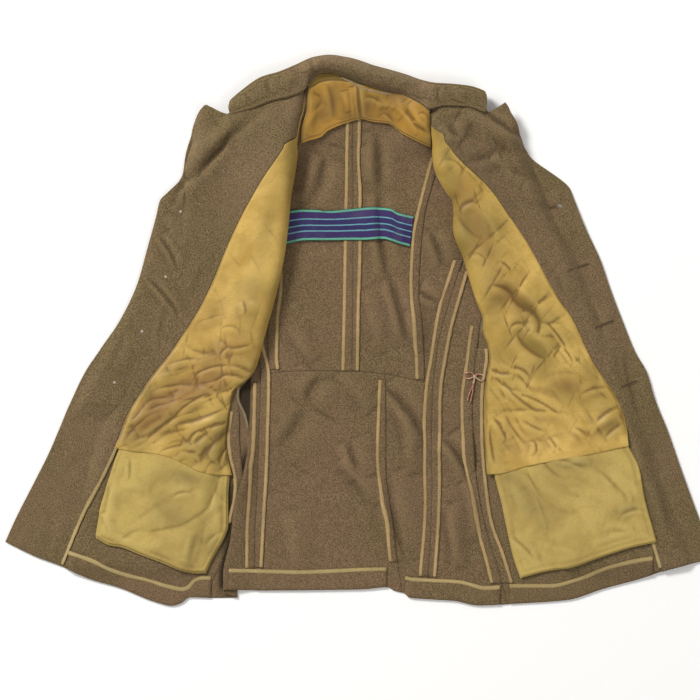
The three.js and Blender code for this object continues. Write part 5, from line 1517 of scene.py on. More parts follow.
def skirt_tape_r(y):
    """Tape on the pleat's top leaf: 14 mm out from the seam, or near the fold where it is less."""
    return np.maximum(SIDE_SEAM_R(y) - 12.0, lerp(SIDE_SEAM_R(y), pleat_crest(y), 0.72))


allowance(
    "side_seam_skirt_r", SIDE_SEAM_R, skirt_tape_r, -1, -331, -72, ["seam_side_skirt_r"],
    top_leaf_height,
)

# %% Vent, turned-up hems and their tapes
VENT_TAPE = curve([(-62, 31), (-104, 29.4), (-174, 27), (-234, 33), (-272, 41), (-316, 45)])
allowance("vent_edge", VENT, VENT_TAPE, -1, -322, -68, ["vent_binding"])


def turn_up(name, hem, top, low, high, height, nodes):
    """The hem's wool folded up inside: from the fold at the hem to its bound edge."""
    x = np.linspace(low, high, max(4, int((high - low) / 4)))
    v = np.linspace(0, 1, 8)[:, None]
    grid_x = np.broadcast_to(x[None, :], (8, len(x))) + 0.0
    grid_y = lerp(hem(x)[None, :] + 0.2, top(x)[None, :], v)
    puff = np.broadcast_to(0.5 * np.sin(np.pi * v) ** 0.6, grid_x.shape) + 0.0
    base = raised(grid_x, grid_y, height(grid_x, grid_y))
    shell(f"{name}_wool", base, wool_back, BINDING, OVER, puff, nodes=nodes[:1])
    path = along_x(top, low, high)
    tape(f"{name}_tape", path, height, OVER + 0.3, binding_green, nodes[1:], HEM_TAPE_WIDTH)


def hem_height_r(x, y):
    """The pleat's top leaf beyond the side seam, the back before it."""
    return np.where(x < SIDE_SEAM_R(y), top_leaf_height(x, y), back_height(x, y))


turn_up("hem_skirt_r", HEM_BACK, TURN_UP_BACK, -181, 40, hem_height_r, ["hem_back_r", "hem_tape_back_r"])
turn_up("hem_skirt_l", HEM_L, TURN_UP_L, 66, 199, back_height, ["hem_back_l", "hem_tape_back_l"])


def front_height(s):
    """Height of a front with its folds, for what is sewn to it."""
    return lambda x, y: s.height(x, y) + wool_relief(s, x, y)


turn_up(
    "hem_front_r", HEM_R, TURN_UP_R, -404, -206, front_height(right), ["hem_front_r", "hem_tape_front_r"]
)
turn_up(
    "hem_front_l", HEM_L, TURN_UP_L, 212, 412, front_height(left), ["hem_front_l", "hem_tape_front_l"]
)

# %% Tapes of the fronts
def facing_tape(end, s, low, high):
    """Bound edge of the facing below the lining."""
    path = along_y(moved(s.facing, -s.g * 2.8), low, high)
    nodes = [f"facing_tape_{end}"]
    tape(f"facing_edge_tape_{end}", path, front_height(s), OVER + 0.1, binding_green, nodes)


facing_tape("r", right, -326, -152)
facing_tape("l", left, -330, -156)


def under_seam(end, s, low, high):
    """Bound allowance of the front beside the seam under the arm."""
    name, nodes = f"under_seam_front_{end}", [f"seam_under_front_{end}"]
    line = lambda y: s.start(y) + s.g * (s.near_at(y) - 3.2)
    allowance(name, s.start, line, s.g, low, high, nodes, front_height(s), 3)


under_seam("r", right, -268, -112)
under_seam("l", left, -352, -24)
print("tapes made")

# %% [markdown]
# ## Lining of the neck
#
# A browner piece of satin lies below the collar, with a small pleat down its middle for ease.
# Near the collar a second, darker strip shows above its folded edge.

# %% Neck lining
NECK_FOLDS = [
    (-1, 344, 4, 292, -2.8, 3, 0), (-9, 341, -5, 294, 1.6, 6, 0), (-42, 346, -34, 296, -2, 7, 3),
    (-80, 288, -50, 322, -1.6, 6, 3), (-72, 275, -58, 330, 1.4, 7, 2), (25, 318, 70, 307, 1.6, 7, 4),
    (59, 316, 87, 279, -1.8, 5, 3), (73, 318, 101, 281, 1.8, 5, -3), (92, 307, 105, 285, -1.8, 4, 2),
    (36, 307, 53, 290, -1.2, 5, 2), (11, 330, 36, 318, -1.2, 5, 2), (-22, 335, -14, 307, 1.2, 6, 2),
    (78, 295, 104, 276, 1.4, 4, 2),
]
NECK_LIFT = WOOL + BINDING + 3 * GAP
neck_left = curve([(337, -71.5), (311, -73), (293, -78), (283, -80.5), (258, -81.5)])
neck_right = curve([(305, 99.5), (283, 100.5), (256, 103.5)])
neck_low = curve([
    (-86, 261), (-73, 267), (-53, 272), (-42, 281), (-18, 291), (7, 297), (17, 294), (43, 291), (49, 288),
    (63, 277), (84, 267), (105, 258),
])
FOLDED_EDGE = curve([
    (-66, 339), (-50, 347), (-32, 349), (-11, 346.5), (11, 342), (31, 337), (52, 333), (70, 329),
])


def make_neck():
    """The panel between its curves; above the folded edge it drops by a cloth's thickness."""
    u, v = unit_grid(120, 70)
    x, y = within(neck_left, neck_right, neck_low, moved(NECK, -1.4), u, v)
    above = smooth((y - FOLDED_EDGE(x)) / 1.6)
    hem = 0.25 * np.exp(-(((v * 80 - 4) / 2) ** 2))
    relief = np.maximum(0.0, 0.9 + 1.1 * creases(x, y, NECK_FOLDS) - 0.8 * above - hem)
    relief = relief * smooth(np.minimum(u, 1 - u) / 0.03) + 0.1
    # olive darkens the strip above the folded edge and adds painted shade along the left edge.
    olive = np.clip(0.75 * above + 0.35 * smooth((0.06 - u) / 0.06), 0, 1)
    rust = blots(x, y, [(30, 300, 40, 14, 0, 0.18), (-50, 300, 18, 22, 0, 0.2)])
    shade = dict(olive=olive, rust=rust)
    base = raised(x, y, back_height(x, y))
    shell(
        "cloth_neck_lining", base, satin_neck, LINING, NECK_LIFT, relief, shade,
        ["lining_neck"],
    )


make_neck()

# %% [markdown]
# ## Collar
#
# The collar is one long shape that stands at the back of the neck, rolls over and tucks under,
# and flattens towards its two ends, where it joins the lapels at a step. Its section has seven
# knots that change along its length; a groove beside its edge is where it is stitched.

# %% Collar surface
# Columns: place along the collar, inner x and y, outer x and y, heights of seat and roll, tuck.
COLLAR_ROWS = np.array([
    (0, -179, 304, -183, 317, 16, 17, 0), (1, -151, 311, -161, 336, 17, 19, 0),
    (2, -122, 322, -134, 354, 18, 22, 2), (3, -95, 328.5, -110, 361, 18, 26, 6),
    (4, -75, 338.5, -85, 372, 17, 30, 10), (5, -63, 358.5, -62, 382, 15, 34, 14),
    (6, -44, 363.5, -40, 385, 15, 36, 16), (7, -13, 356.5, -12, 381, 15, 37, 16),
    (8, 20, 343.5, 26, 369, 16, 37, 16), (9, 59, 334.5, 66, 358, 18, 36, 14),
    (10, 84, 322.5, 88, 350, 20, 33, 10), (11, 101, 311, 110, 345, 20, 28, 6),
    (12, 122, 315.5, 128, 344, 19, 24, 2), (13, 150, 314.5, 156, 341, 17, 20, 0),
    (14, 178, 306, 182, 332, 15, 16, 0),
])
COLLAR_FOLDS = [
    (-120, 330, -128, 350, -1.4, 6, 2), (-100, 336, -92, 362, 1.2, 8, 2),
    (-64, 362, -66, 380, -1.2, 6, 0), (40, 342, 60, 358, -1.2, 8, 2), (84, 326, 96, 346, 1.4, 8, 2),
    (108, 322, 112, 342, -1.4, 6, 0), (140, 320, 146, 338, 1, 8, 2), (-150, 318, -156, 332, -1, 6, 0),
    (0, 356, 16, 370, 1, 10, 0),
]

COLLAR_SEAT = curve([
    (0, 26), (1, 27.2), (2, 30.3), (3, 32.5), (4, 29), (5, 22.5), (9, 23.5), (10, 31), (11, 36),
    (12, 34.7), (13, 32), (14, 28.5),
])


def hermite_table(values, at):
    """Monotone cubic through rows of values, evaluated at positions shared by all columns."""
    knots = np.arange(len(values), dtype=float)
    slope = slopes(knots, values)
    n = np.clip(np.floor(at).astype(int), 0, len(values) - 2)
    t = at - n
    shape = t.reshape(t.shape + (1,) * (values[n].ndim - t.ndim))
    return hermite(values[n], values[n + 1], slope[n], slope[n + 1], 1.0, shape)


def make_collar():
    """Point = inner line + (outer - inner) d / depth, raised to z, with d and z through 7 knots."""
    across, along = 250, 60
    at = np.linspace(0, 14, across + 1)
    _, ix, iy, ox, oy, seat, tall, tuck = hermite_table(COLLAR_ROWS.astype(float), at).T
    seat = np.maximum(seat, COLLAR_SEAT(at))
    tall = np.maximum(tall, seat + 1.2)
    flat = smooth(np.abs(at - 7) / 2.2 - 1.0)
    depth = np.hypot(ox - ix, oy - iy)
    zero = np.zeros_like(depth)
    d_knots = np.stack([
        zero - 2.4, 0.18 * depth, 0.5 * depth, 0.82 * depth, depth, depth - 0.12 * tuck, depth - tuck,
    ])
    z_knots = np.stack([
        seat, lerp(seat, tall, 0.75), tall, lerp(0.8, 0.95, flat) * tall, lerp(0.5, 0.84, flat) * tall,
        lerp(0.2 * tall + 1, 0.6 * tall, flat), lerp(1.5 + 0.1 * tuck, 0.42 * tall, flat),
    ])
    v = np.linspace(0, 6, along + 1)
    d = hermite_table(d_knots, v)
    z = hermite_table(z_knots, v)
    share = d / depth
    base = np.stack([lerp(ix, ox, share), lerp(iy, oy, share), z], axis=-1)
    corner = smooth((np.minimum(at, 14 - at)) / 0.35)[None, :]
    pull = (1 - corner) ** 2 * np.clip(share, 0, 1) ** 3
    base[..., 0] += -np.sign(base[..., 0]) * 3.2 * pull
    base[..., 1] -= 3.0 * pull
    folds = creases(base[..., 0], base[..., 1], COLLAR_FOLDS)
    groove = 0.28 * np.exp(-(((v[:, None] - 3.55) / 0.12) ** 2)) * smooth((at - 0.2) / 0.5)[None, :]
    thin = 0.9 * smooth((0.5 - v) / 0.5)[:, None] * flat[None, :]
    relief = folds * smooth((4.6 - v) / 1.4)[:, None] - groove - thin
    return shell(
        "cloth_collar", base, wool_facing, COLLAR, -COLLAR / 2, relief, nodes=["collar"]
    )


collar = make_collar()
print("collar", len(collar.data.vertices), "vertices")

# %% [markdown]
# ## Ribbon band and hanger loop
#
# A plain striped ribbon is sewn across the upper back. It is ribbed across its width: dark
# purple with pale green edges and three pale lines. The stripes are steps of one number, the
# share of the ribbon's width, that each vertex carries. A narrow woven strip lies at the neck
# as a loop to hang the coat by.

# %% Ribbon stripes
STRIPES = [
    (0.0, (36, 96, 72)), (0.02, (112, 198, 164)), (0.085, (62, 42, 108)), (0.285, (120, 182, 196)),
    (0.325, (48, 42, 104)), (0.47, (120, 182, 196)), (0.51, (48, 42, 104)), (0.67, (120, 182, 196)),
    (0.71, (62, 42, 108)), (0.915, (112, 198, 164)), (0.98, (36, 96, 72)),
]


def make_ribbon_cloth():
    """Stripes as steps of the field across, a little frayed, with ribs along the weft."""
    c = Cloth("striped_ribbon")
    ramp = c.node("ShaderNodeValToRGB")
    ramp.color_ramp.interpolation = "CONSTANT"
    stops = ramp.color_ramp.elements
    for n, (share, colour) in enumerate(STRIPES):
        stop = stops[n] if n < 2 else stops.new(share)
        stop.position = share
        stop.color = (*tone(*colour), 1.0)
    fray = c.math("MULTIPLY", c.math("SUBTRACT", c.noise(c.place, 400.0, 2.0), 0.5), 0.02)
    c.feed(ramp.inputs["Fac"], c.math("ADD", c.field("across"), fray))
    ribs = c.wave(c.uv, 330.0, "X", 0.4)
    body = c.tint(ramp.outputs["Color"], ribs, 0.28, 26, 20, 40)
    body = c.tint(body, c.step(c.noise(c.place, 30.0, 3.0), 0.45, 0.7), 0.22, 112, 104, 120)
    normal = c.bump(ribs, 0.00035, 0.8)
    return c.finish(body, normal, 0.62, 0.3, tone(150, 150, 180), 0.4)


ribbon_cloth = make_ribbon_cloth()
ribbon_top = curve([
    (-104, 167), (-78, 171), (-38, 170), (4, 173), (28, 174), (45, 172), (55, 166), (80, 161),
])
ribbon_low = curve([
    (-104, 122), (-73, 127), (8, 127.5), (38, 129), (48, 126), (56, 122.5), (73, 118),
])
u, v = unit_grid(110, 40)
x, y = within(level(-103), curve([(161, 77.5), (118, 72)]), ribbon_low, ribbon_top, u, v)
RIBBON_FOLDS = [
    (48, 172, 52, 122, -2, 4.5, 2), (-60, 168, -64, 126, 1, 9, 2), (-14, 172, -10, 128, -1, 6, 0),
    (16, 172, 20, 128, 1.2, 8, 0), (62, 166, 64, 122, 1.2, 6, 0), (-86, 168, -88, 126, -0.8, 6, 0),
]
curled_edge = 0.15 * np.sin(u * 46) * (np.abs(v - 0.5) * 2) ** 4
relief = np.maximum(0.0, 0.5 + creases(x, y, RIBBON_FOLDS)) + curled_edge
shell(
    "ribbon", raised(x, y, back_height(x, y)), ribbon_cloth, LINING,
    WOOL + 2 * GAP + BINDING, relief, dict(across=v), ["ribbon_band"],
)

# %% Hanger loop
def make_webbing():
    """Buff threads with brown specks, ribbed."""
    c = Cloth("loop_webbing")
    speck = c.step(c.noise(c.place, 520.0, 3.0), 0.35, 0.7)
    body = c.tint(tone(184, 160, 120), speck, 0.6, 132, 110, 76)
    ribs = c.wave(c.uv, 500.0, "X", 0.5)
    normal = c.bump(ribs, 0.0003, 0.8)
    return c.finish(body, normal, 0.85, 0.3, tone(230, 215, 180), 0.3)


webbing = make_webbing()
loop_line = moved(curve([(-24, 356), (-8, 348), (10, 339), (48, 331.5)]), -1)
path = along_x(loop_line, -24, 48, 1.2)
flat = strip_grid(path, 3.2, 8)
x, y = flat[..., 0], flat[..., 1]
crown = 0.4 * (1 - np.linspace(-1, 1, 9) ** 2)[None, :] + 0.25 * np.sin(path[:, :1] * 0.2) ** 2
shell(
    "neck_loop", raised(x, y, back_height(x, y)), webbing, LINING,
    NECK_LIFT + LINING + 2 * GAP, crown, nodes=["hanger_loop"],
)
print("ribbon and loop made")

# %% [markdown]
# ## Thread tie
#
# Between the two tapes at the left waist hangs a scrap of twisted thread: a knot with two
# small loops and two loose tails. Each strand is a tube carried along a smooth path, its
# section ridged so that it reads as two plies twisted together.

# %% Thread tie
def make_thread():
    """Faded red thread, here and there bleached, with fuzz."""
    c = Cloth("twisted_thread")
    fade = c.step(c.noise(c.place, 90.0, 1.0), 0.42, 0.58)
    body = c.mix(fade, tone(190, 128, 112), tone(214, 184, 150))
    fuzz = c.noise(c.place, 1500.0, 3.0)
    body = c.tint(body, c.step(fuzz, 0.4, 0.7), 0.4, 128, 78, 66)
    return c.finish(body, c.bump(fuzz, 0.0004, 0.8), 0.8, 0.4, tone(240, 210, 190), 0.3)


thread = make_thread()
TIE_RADIUS = 0.95
TIE_TOP = 5.4
TIE_STRANDS = {
    "tie_loop_1": [(162.2, -61.4), (158, -57.5), (150, -58.5), (149, -63), (154, -66), (161.2, -64)],
    "tie_loop_2": [(164, -61.2), (168, -59.5), (174, -61), (176.5, -65), (172, -69), (165, -64.2)],
    "tie_tail_1": [(162.6, -64.6), (162, -72), (158, -81), (155, -89), (153, -97)],
    "tie_tail_2": [(163.8, -64.8), (161, -72), (160.6, -82), (159, -90), (157, -99)],
}


def smooth_path(points, count):
    """A Catmull-Rom curve through points, sampled evenly in its own parameter."""
    p = np.array(points, float)
    p = np.concatenate([[2 * p[0] - p[1]], p, [2 * p[-1] - p[-2]]])
    at = np.linspace(0, len(points) - 1, count)
    n = np.clip(np.floor(at).astype(int), 0, len(points) - 2)
    t = (at - n)[:, None]
    a, b, c, d = p[n], p[n + 1], p[n + 2], p[n + 3]
    square, cube = 2 * a - 5 * b + 4 * c - d, 3 * b - a - 3 * c + d
    return 0.5 * (2 * b + (c - a) * t + square * t**2 + cube * t**3)


def tube(name, path, radius, material, turns=0.5):
    """A closed tube: centre + radius (0.9 + 0.1 cos(2 angle - twist)) around each path point."""
    way = np.gradient(path, axis=0)
    way /= np.linalg.norm(way, axis=1, keepdims=True)
    side = np.cross(way, [0.0, 0.0, 1.0])
    side /= np.linalg.norm(side, axis=1, keepdims=True)
    up = np.cross(side, way)
    angle = np.linspace(0, 2 * np.pi, 12, endpoint=False)[None, :]
    run = np.concatenate([[0], np.cumsum(np.linalg.norm(np.diff(path, axis=0), axis=1))])[:, None]
    r = (radius * (0.9 + 0.1 * np.cos(2 * angle - turns * 2 * run)))[..., None]
    out = np.cos(angle)[..., None] * side[:, None] + np.sin(angle)[..., None] * up[:, None]
    rings = path[:, None] + r * out
    k = np.arange(12)
    caps = []
    for ring, turn in ((0, 1), (len(path) - 1, -1)):
        c = k[::turn] + ring * 12
        caps += [(c[0], c[1], c[2], c[11]), (c[2], c[3], c[10], c[11]), (c[3], c[4], c[9], c[10]),
                 (c[4], c[5], c[8], c[9]), (c[5], c[6], c[7], c[8])]
    quads = np.concatenate([ring_quads(len(path), 12, turned=True), np.array(caps)])
    piece = new_mesh(name, rings.reshape(-1, 3), quads, material, {}, None)
    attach(piece, ROOT)
    return piece


strands = []
for n, (name, points) in enumerate(TIE_STRANDS.items()):
    z = TIE_TOP + GAP * (n % 2)
    path = smooth_path([(px, py, z) for px, py in points], 40)
    strand = tube(name, path, TIE_RADIUS, thread)
    run = float(np.linalg.norm(np.diff(path, axis=0), axis=1).sum())
    strands.append((strand, path, run))
    print(name, round(run, 1), "mm")


def make_knot():
    """A lumpy ball: radius 2.2 (1 + 0.14 sin(3 angle + 4 lift) cos(lift)), closed at both poles."""
    a, b = np.meshgrid(np.linspace(0, 2 * np.pi, 24, endpoint=False), np.linspace(-1.5, 1.5, 13))
    r = 2.2 * (1 + 0.14 * np.sin(3 * a + 4 * b) * np.cos(b))
    x, y = 163 + r * np.cos(b) * np.cos(a), -63 + r * np.cos(b) * np.sin(a)
    ball = np.stack([x, y, TIE_TOP + 0.9 * r * np.sin(b)], axis=-1)
    k = np.arange(24)
    caps = []
    for ring, turn in ((0, -1), (12, 1)):
        c = (k + ring * 24)[::turn]
        caps += [(c[i], c[i + 1], c[22 - i], c[23 - i]) for i in range(11)]
    quads = np.concatenate([ring_quads(13, 24), np.array(caps)])
    piece = new_mesh("tie_knot", ball.reshape(-1, 3), quads, thread, {}, None)
    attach(piece, ROOT)
    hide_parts("thread_tie")
    return piece


knot = make_knot()
for n, (strand, path, run) in enumerate(strands):
    place = ((path - MIDDLE) * MM).tolist()

# %% [markdown]
# ## Sleeves and buttons beneath the fronts
#
# The fronts cover both sleeves, which lie flattened under them, and the four brass buttons of
# the right front. They lift the cloth above them. A sleeve is a tube with a squashed section,
# open at the armhole and at the cuff.

# %% Sleeves
SLEEVE_TOP = 262.0
SLEEVE_LENGTH = 546.0


def make_sleeve(end, sleeve):
    """Section: x = middle + half |cos a|^0.7, z = tall + tall |sin a|^0.3, with their signs."""
    rows = np.array(sorted(sleeve), float)
    along, around = 46, 48
    y = np.linspace(SLEEVE_TOP, SLEEVE_TOP - SLEEVE_LENGTH, along)
    inner, outer = curve(sleeve, 0, 1)(y), curve(sleeve, 0, 2)(y)
    height = np.interp(y, rows[:, 0], rows[:, 3])
    tall = np.minimum(7.0, np.maximum(5.5, height)) / 2
    a = np.linspace(0, 2 * np.pi, around, endpoint=False)[None, :]
    flat = lambda value, power: np.sign(value) * np.abs(value) ** power
    ripple = 1 + 0.01 * np.sin(a * 5 + y[:, None] * 0.05)
    mid, half = (inner + outer)[:, None] / 2, np.abs(outer - inner)[:, None] / 2
    rings = []
    for inset in (0.0, WOOL):
        x = mid + (half * ripple - inset) * flat(np.cos(a), 0.7)
        z = tall[:, None] + (tall[:, None] - inset) * flat(np.sin(a), 0.3)
        rings.append(np.stack([x, np.broadcast_to(y[:, None], x.shape), z], axis=-1).reshape(-1, 3))
    k = np.arange(around)
    m = (k + 1) % around
    size = along * around
    out = ring_quads(along, around)
    inside = ring_quads(along, around, turned=True) + size
    last = (along - 1) * around
    first_rim = np.stack([m, k, size + k, size + m], axis=-1)
    last_rim = np.stack([last + k, last + m, size + last + m, size + last + k], axis=-1)
    quads = np.concatenate([out, inside, first_rim, last_rim])
    uv = np.stack([np.broadcast_to(a * 40, (along, around)).ravel(), np.repeat(y, around)], axis=1)
    uv = np.concatenate([uv, uv])
    empty = np.zeros(2 * size)
    fields = dict(hollow=empty, crest=empty)
    piece = new_mesh(f"cloth_sleeve_{end}", np.concatenate(rings), quads, wool, fields, uv)
    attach(piece, ROOT)
    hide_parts(f"sleeve_{end}")
    girth, length = 4 * float(half.mean()) * MM, SLEEVE_LENGTH * MM
    sheets.append((piece, girth, length, girth * length))


make_sleeve("r", SLEEVE_R)
make_sleeve("l", SLEEVE_L)

# %% Brass buttons
def make_brass():
    """Bright where it is worn, dark and rougher elsewhere."""
    c = Cloth("old_brass")
    worn = c.step(c.noise(c.place, 180.0, 4.0), 0.4, 0.7)
    body = c.mix(worn, tone(196, 160, 84), tone(134, 102, 52))
    c.shader.inputs["Metallic"].default_value = 1.0
    return c.finish(body, c.bump(worn, 0.0003, 0.5), c.step(worn, 0.0, 1.0, 0.28, 0.5), 0.0, gloss=0.5)


brass = make_brass()
BUTTON_PROFILE = np.array([
    (0.02, 0.3), (0.5, 0.12), (0.7, 0), (0.93, 0.6), (0.97, 1.6), (1, 2.1), (1, 2.6), (0.96, 3.3),
    (0.9, 4), (0.7, 4.5), (0.35, 5), (0.3, 5.2), (0.3, 5.8), (0.24, 6), (0.02, 6),
]) * (BUTTON_RADIUS, 1.0)


def make_button(n, cx, cy):
    """A profile turned about the button's axis; both ends close in a small disc."""
    a = np.linspace(0, 2 * np.pi, 48, endpoint=False)[None, :]
    r, z = BUTTON_PROFILE[:, :1], BUTTON_PROFILE[:, 1:]
    z = np.broadcast_to(z, (len(r), 48))
    rings = np.stack([cx + r * np.cos(a), cy + r * np.sin(a), z], axis=-1).reshape(-1, 3)
    low = np.array([(47 - i, 46 - i, i + 1, i) for i in range(23)])
    top = (len(r) - 1) * 48 + low[:, ::-1]
    quads = np.concatenate([ring_quads(len(r), 48), low, top])
    piece = new_mesh(f"brass_button_{n}", rings, quads, brass, {}, None)
    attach(piece, ROOT)
    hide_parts(f"button_{n}")


for n, (cx, cy) in enumerate(BUTTONS):
    make_button(n + 1, cx, cy)

# %% [markdown]
# ## Buttonholes and the marks of the buttons
#
# Four buttonholes are worked in thread through the left facing. Each is a slit between two
# rows of stitches that stand up from the cloth; the top one ends in an open eyelet. On the right
# facing, a small white cross of thread shows where each button is sewn on from outside.

# %% Buttonhole thread
def make_hole_thread():
    """Brown twist in ribs across the slit; the slit is painted nearly black as the shade in its gap."""
    c = Cloth("buttonhole_thread")
    ribs = c.wave(c.uv, 700.0, "X", 0.6)
    body = c.tint(tone(134, 110, 76), ribs, 0.5, 100, 80, 54)
    body = c.mix(c.field("slit"), body, tone(34, 24, 16))
    return c.finish(body, c.bump(ribs, 0.0005, 0.9), 0.7, 0.3, tone(190, 165, 130), 0.35)


hole_thread = make_hole_thread()


def facing_top(s, lift=OVER + WOOL):
    """Height of the facing's upper face, with its folds."""
    return lambda x, y: s.height(x, y) + wool_relief(s, x, y) + lift


def worked_hole(n, x1, y1, x2, y2):
    """A lens of stitches round a slit: height 0.75 (1 - w^2)^0.6 with a dip down the middle.

    w runs from -1 to 1 across. Small stitches aren't sheets, so the last one listed is dropped.
    """
    length = math.hypot(x2 - x1, y2 - y1)
    cx, cy = (x2 - x1) / length, (y2 - y1) / length
    u, v = unit_grid(60, 16)
    w = 2 * v - 1
    half = 2.3 * np.minimum(1, np.sin(np.pi * np.clip(u, 0.03, 0.97)) * 4) ** 0.5
    along = (u - 0.5) * length
    x = (x1 + x2) / 2 + along * cx - w * half * cy
    y = (y1 + y2) / 2 + along * cy + w * half * cx
    # slit is painted shade down the middle, where the gap between the rows would be dark.
    slit = np.exp(-((w * half / 0.42) ** 2)) * smooth(np.minimum(u, 1 - u) / 0.08)
    relief = 0.75 * np.maximum(0, 1 - w**2) ** 0.6 * (1 - 0.85 * slit)
    base = raised(x, y, facing_top(left)(x, y))
    shell(f"buttonhole_{n}", base, hole_thread, 0.35, -0.1, relief, dict(slit=slit))
    sheets.pop()


def px(a, b):
    """A place read off the flat photograph, in millimetres on the table."""
    return 1.4 * (a - 358), 1.4 * (331.5 - b)


HOLES = [
    (544, 209, 556, 206.4), (567.4, 270.5, 588.4, 263.8), (594, 328, 613.7, 320.3),
    (620.7, 387, 636.8, 380.6),
]
for n, (a, b, c, d) in enumerate(HOLES):
    worked_hole(n + 1, *px(a, b), *px(c, d))


# %% Eyelet through facing and front
def cut_eyelet(piece):
    """Takes an upright oval cylinder away from a piece, and keeps the result as its mesh."""
    a = np.linspace(0, 2 * np.pi, 33)[:-1]
    ox, oy = EYELET["long"] / 2 * np.cos(a), EYELET["wide"] / 2 * np.sin(a)
    c, s = math.cos(EYELET["turn"]), math.sin(EYELET["turn"])
    x, y = EYELET["x"] + ox * c - oy * s, EYELET["y"] + ox * s + oy * c
    ring = np.stack([x, y], axis=1)
    vertices = np.concatenate([np.c_[ring, np.full(32, -5.0)], np.c_[ring, np.full(32, 60.0)]])
    vertices = (vertices - MIDDLE) * MM
    faces = [[i, (i + 1) % 32, 32 + (i + 1) % 32, 32 + i] for i in range(32)]
    faces += [list(range(31, -1, -1)), list(range(32, 64))]
    data = bpy.data.meshes.new("cutter")
    data.from_pydata(vertices.tolist(), [], faces)
    cutter = bpy.data.objects.new("cutter", data)
    bpy.context.collection.objects.link(cutter)
    cut = piece.modifiers.new("eyelet", "BOOLEAN")
    cut.operation = "DIFFERENCE"
    cut.solver = "EXACT"
    cut.object = cutter
    depsgraph = bpy.context.evaluated_depsgraph_get()
    made = bpy.data.meshes.new_from_object(piece.evaluated_get(depsgraph), depsgraph=depsgraph)
    before = len(piece.data.polygons)
    piece.modifiers.clear()
    piece.data = made
    bpy.data.objects.remove(cutter)
    print("eyelet cut in", piece.name, before, "->", len(made.polygons), "faces")


for piece in cloths["l"]:
    cut_eyelet(piece)


# %% White crosses where the buttons are sewn on
def make_white_thread():
    """Off-white cotton with faint specks."""
    c = Cloth("white_thread")
    speck = c.noise(c.place, 1400.0, 2.0)
    body = c.mix(speck, tone(214, 206, 190), tone(170, 160, 140))
    return c.finish(body, c.bump(speck, 0.0003, 0.8), 0.8, 0.3, tone(240, 236, 225), 0.3)


white_thread = make_white_thread()
CROSSES = [(181, 212), (166, 277), (142.5, 331.5), (115, 382.5)]
for n, place in enumerate(CROSSES):
    cx, cy = px(*place)
    u, v = unit_grid(10, 10)
    a, b = 2 * u - 1, 2 * v - 1
    x = cx + 1.8 * a * np.sqrt(1 - b * b / 2)
    y = cy + 1.8 * b * np.sqrt(1 - a * a / 2)
    dome = 0.9 * np.maximum(0, 1 - a * a) ** 0.5 * np.maximum(0, 1 - b * b) ** 0.5
    dome = dome * (0.8 + 0.2 * np.cos(9 * (a + b)))
    base = raised(x, y, facing_top(right)(x, y))
    shell(f"button_stitch_{n + 1}", base, white_thread, 0.3, -0.1, dome)
    sheets.pop()

# %% Short bound edge above the pleat
SHORT_TAPE_R = curve([(-60, -166), (-92, -168), (-117, -158.5), (-137, -153.3)])
binding_grey = make_tape("grey_binding", (150, 138, 110), (136, 126, 104))
path = along_y(SHORT_TAPE_R, -136, -66)
tape("short_edge_tape_r", path, front_height(right), OVER + 0.2, binding_grey, width=4.0)

# %% [markdown]
# ## Table, light and camera
#
# The coat lies on a pale table and the camera looks straight down. One large soft lamp stands
# high at the upper left, so folds show by broad shadows. A weak one at the lower right and a
# pale world fill them.

# %% Table, lamps, world and camera
CAMERA_LENS = 200
CAMERA_PLACE = (-0.01344, -0.0268, 5.444)


def add_light(name, place, size, power, colour):
    """A square lamp at a place, turned towards the origin."""
    data = bpy.data.lights.new(name, "AREA")
    data.size = size
    data.energy = power
    data.color = colour
    lamp = bpy.data.objects.new(name, data)
    bpy.context.collection.objects.link(lamp)
    lamp.location = place
    lamp.rotation_mode = "QUATERNION"
    lamp.rotation_quaternion = (-mathutils.Vector(place)).to_track_quat("-Z", "Y")


floor_data = bpy.data.meshes.new("table_top")
floor_data.from_pydata([(-4, -4, 0), (4, -4, 0), (4, 4, 0), (-4, 4, 0)], [], [(0, 1, 2, 3)])
floor = bpy.data.objects.new("table_top", floor_data)
bpy.context.collection.objects.link(floor)
paper = Cloth("pale_paper")
grain = paper.noise(paper.place, 300.0, 2.0)
paper.shader.inputs["Emission Color"].default_value = (1.0, 1.0, 1.0, 1.0)
paper.shader.inputs["Emission Strength"].default_value = 0.05
pale = paper.mix(grain, (0.97, 0.97, 0.97), (0.99, 0.99, 0.99))
paper.finish(pale, paper.bump(grain, 0.0001, 0.2), 0.9)
floor_data.materials.append(paper.material)

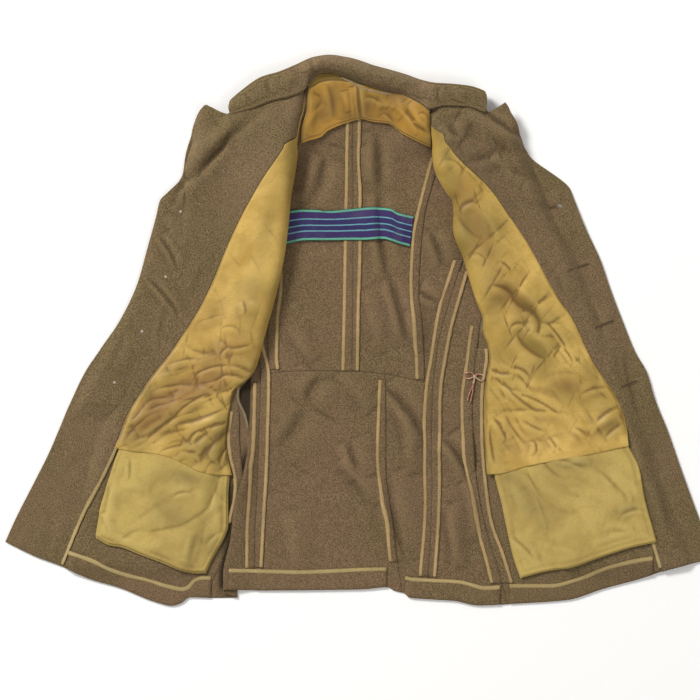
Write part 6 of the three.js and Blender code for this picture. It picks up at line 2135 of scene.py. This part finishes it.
add_light("soft_lamp", (-3.4, 3.6, 3.9), 1.6, 350.0, (1.0, 0.985, 0.96))
add_light("fill_lamp", (2.6, -2.4, 5.0), 3.0, 60.0, (1.0, 0.99, 0.97))
world = bpy.data.worlds.new("studio")
bpy.context.scene.world = world
world.use_nodes = True
world.node_tree.nodes["Background"].inputs["Color"].default_value = (1.0, 0.99, 0.97, 1.0)
world.node_tree.nodes["Background"].inputs["Strength"].default_value = 0.38

scene = bpy.context.scene
scene.view_settings.view_transform = "Standard"
camera_data = bpy.data.cameras.new("camera")
camera_data.sensor_width = 36
camera_data.lens = CAMERA_LENS
camera = bpy.data.objects.new("camera", camera_data)
bpy.context.collection.objects.link(camera)
camera.location = CAMERA_PLACE
scene.camera = camera

# %% [markdown]
# ## What the cloth was cut to
#
# Every panel's flat size, the size of the cloth that shows, is printed. The tapes, seam
# allowances, turned-up hems and the loop go with the panel that they are sewn to.

HOSTS = {
    "centre_seam_r": "panel_back_r", "centre_seam_l": "panel_back_l",
    "side_back_seam_r": "panel_side_back_r", "side_back_seam_l": "panel_side_back_l",
    "side_seam_body_r": "panel_skirt_r", "side_seam_body_l": "panel_skirt_l",
    "side_seam_front_l": "panel_side_l", "under_seam_back_l": "panel_side_l",
    "side_seam_skirt_r": "panel_side_r", "vent_edge": "panel_skirt_r",
    "hem_skirt_r": "panel_skirt_r", "hem_skirt_l": "panel_skirt_l",
    "hem_front_r": "cloth_front_r", "hem_front_l": "cloth_front_l",
    "under_seam_front_r": "cloth_front_r", "under_seam_front_l": "cloth_front_l",
    "facing_edge_tape_r": "cloth_facing_r", "facing_edge_tape_l": "cloth_facing_l",
    "short_edge_tape_r": "panel_side_r", "neck_loop": "cloth_neck_lining",
}
followers = {}
hosts = []
for piece, width, length, area in sheets:
    host = next((h for start, h in HOSTS.items() if piece.name.startswith(start)), None)
    if host is None:
        hosts.append((piece, width, length, area))
    else:
        followers.setdefault(host, []).append(piece)
for piece, width, length, area in hosts:
    kind, _, end = piece.name.rpartition("_")
    print(piece.name, "flat", round(width, 3), "x", round(length, 3), "m, area", round(area, 4))
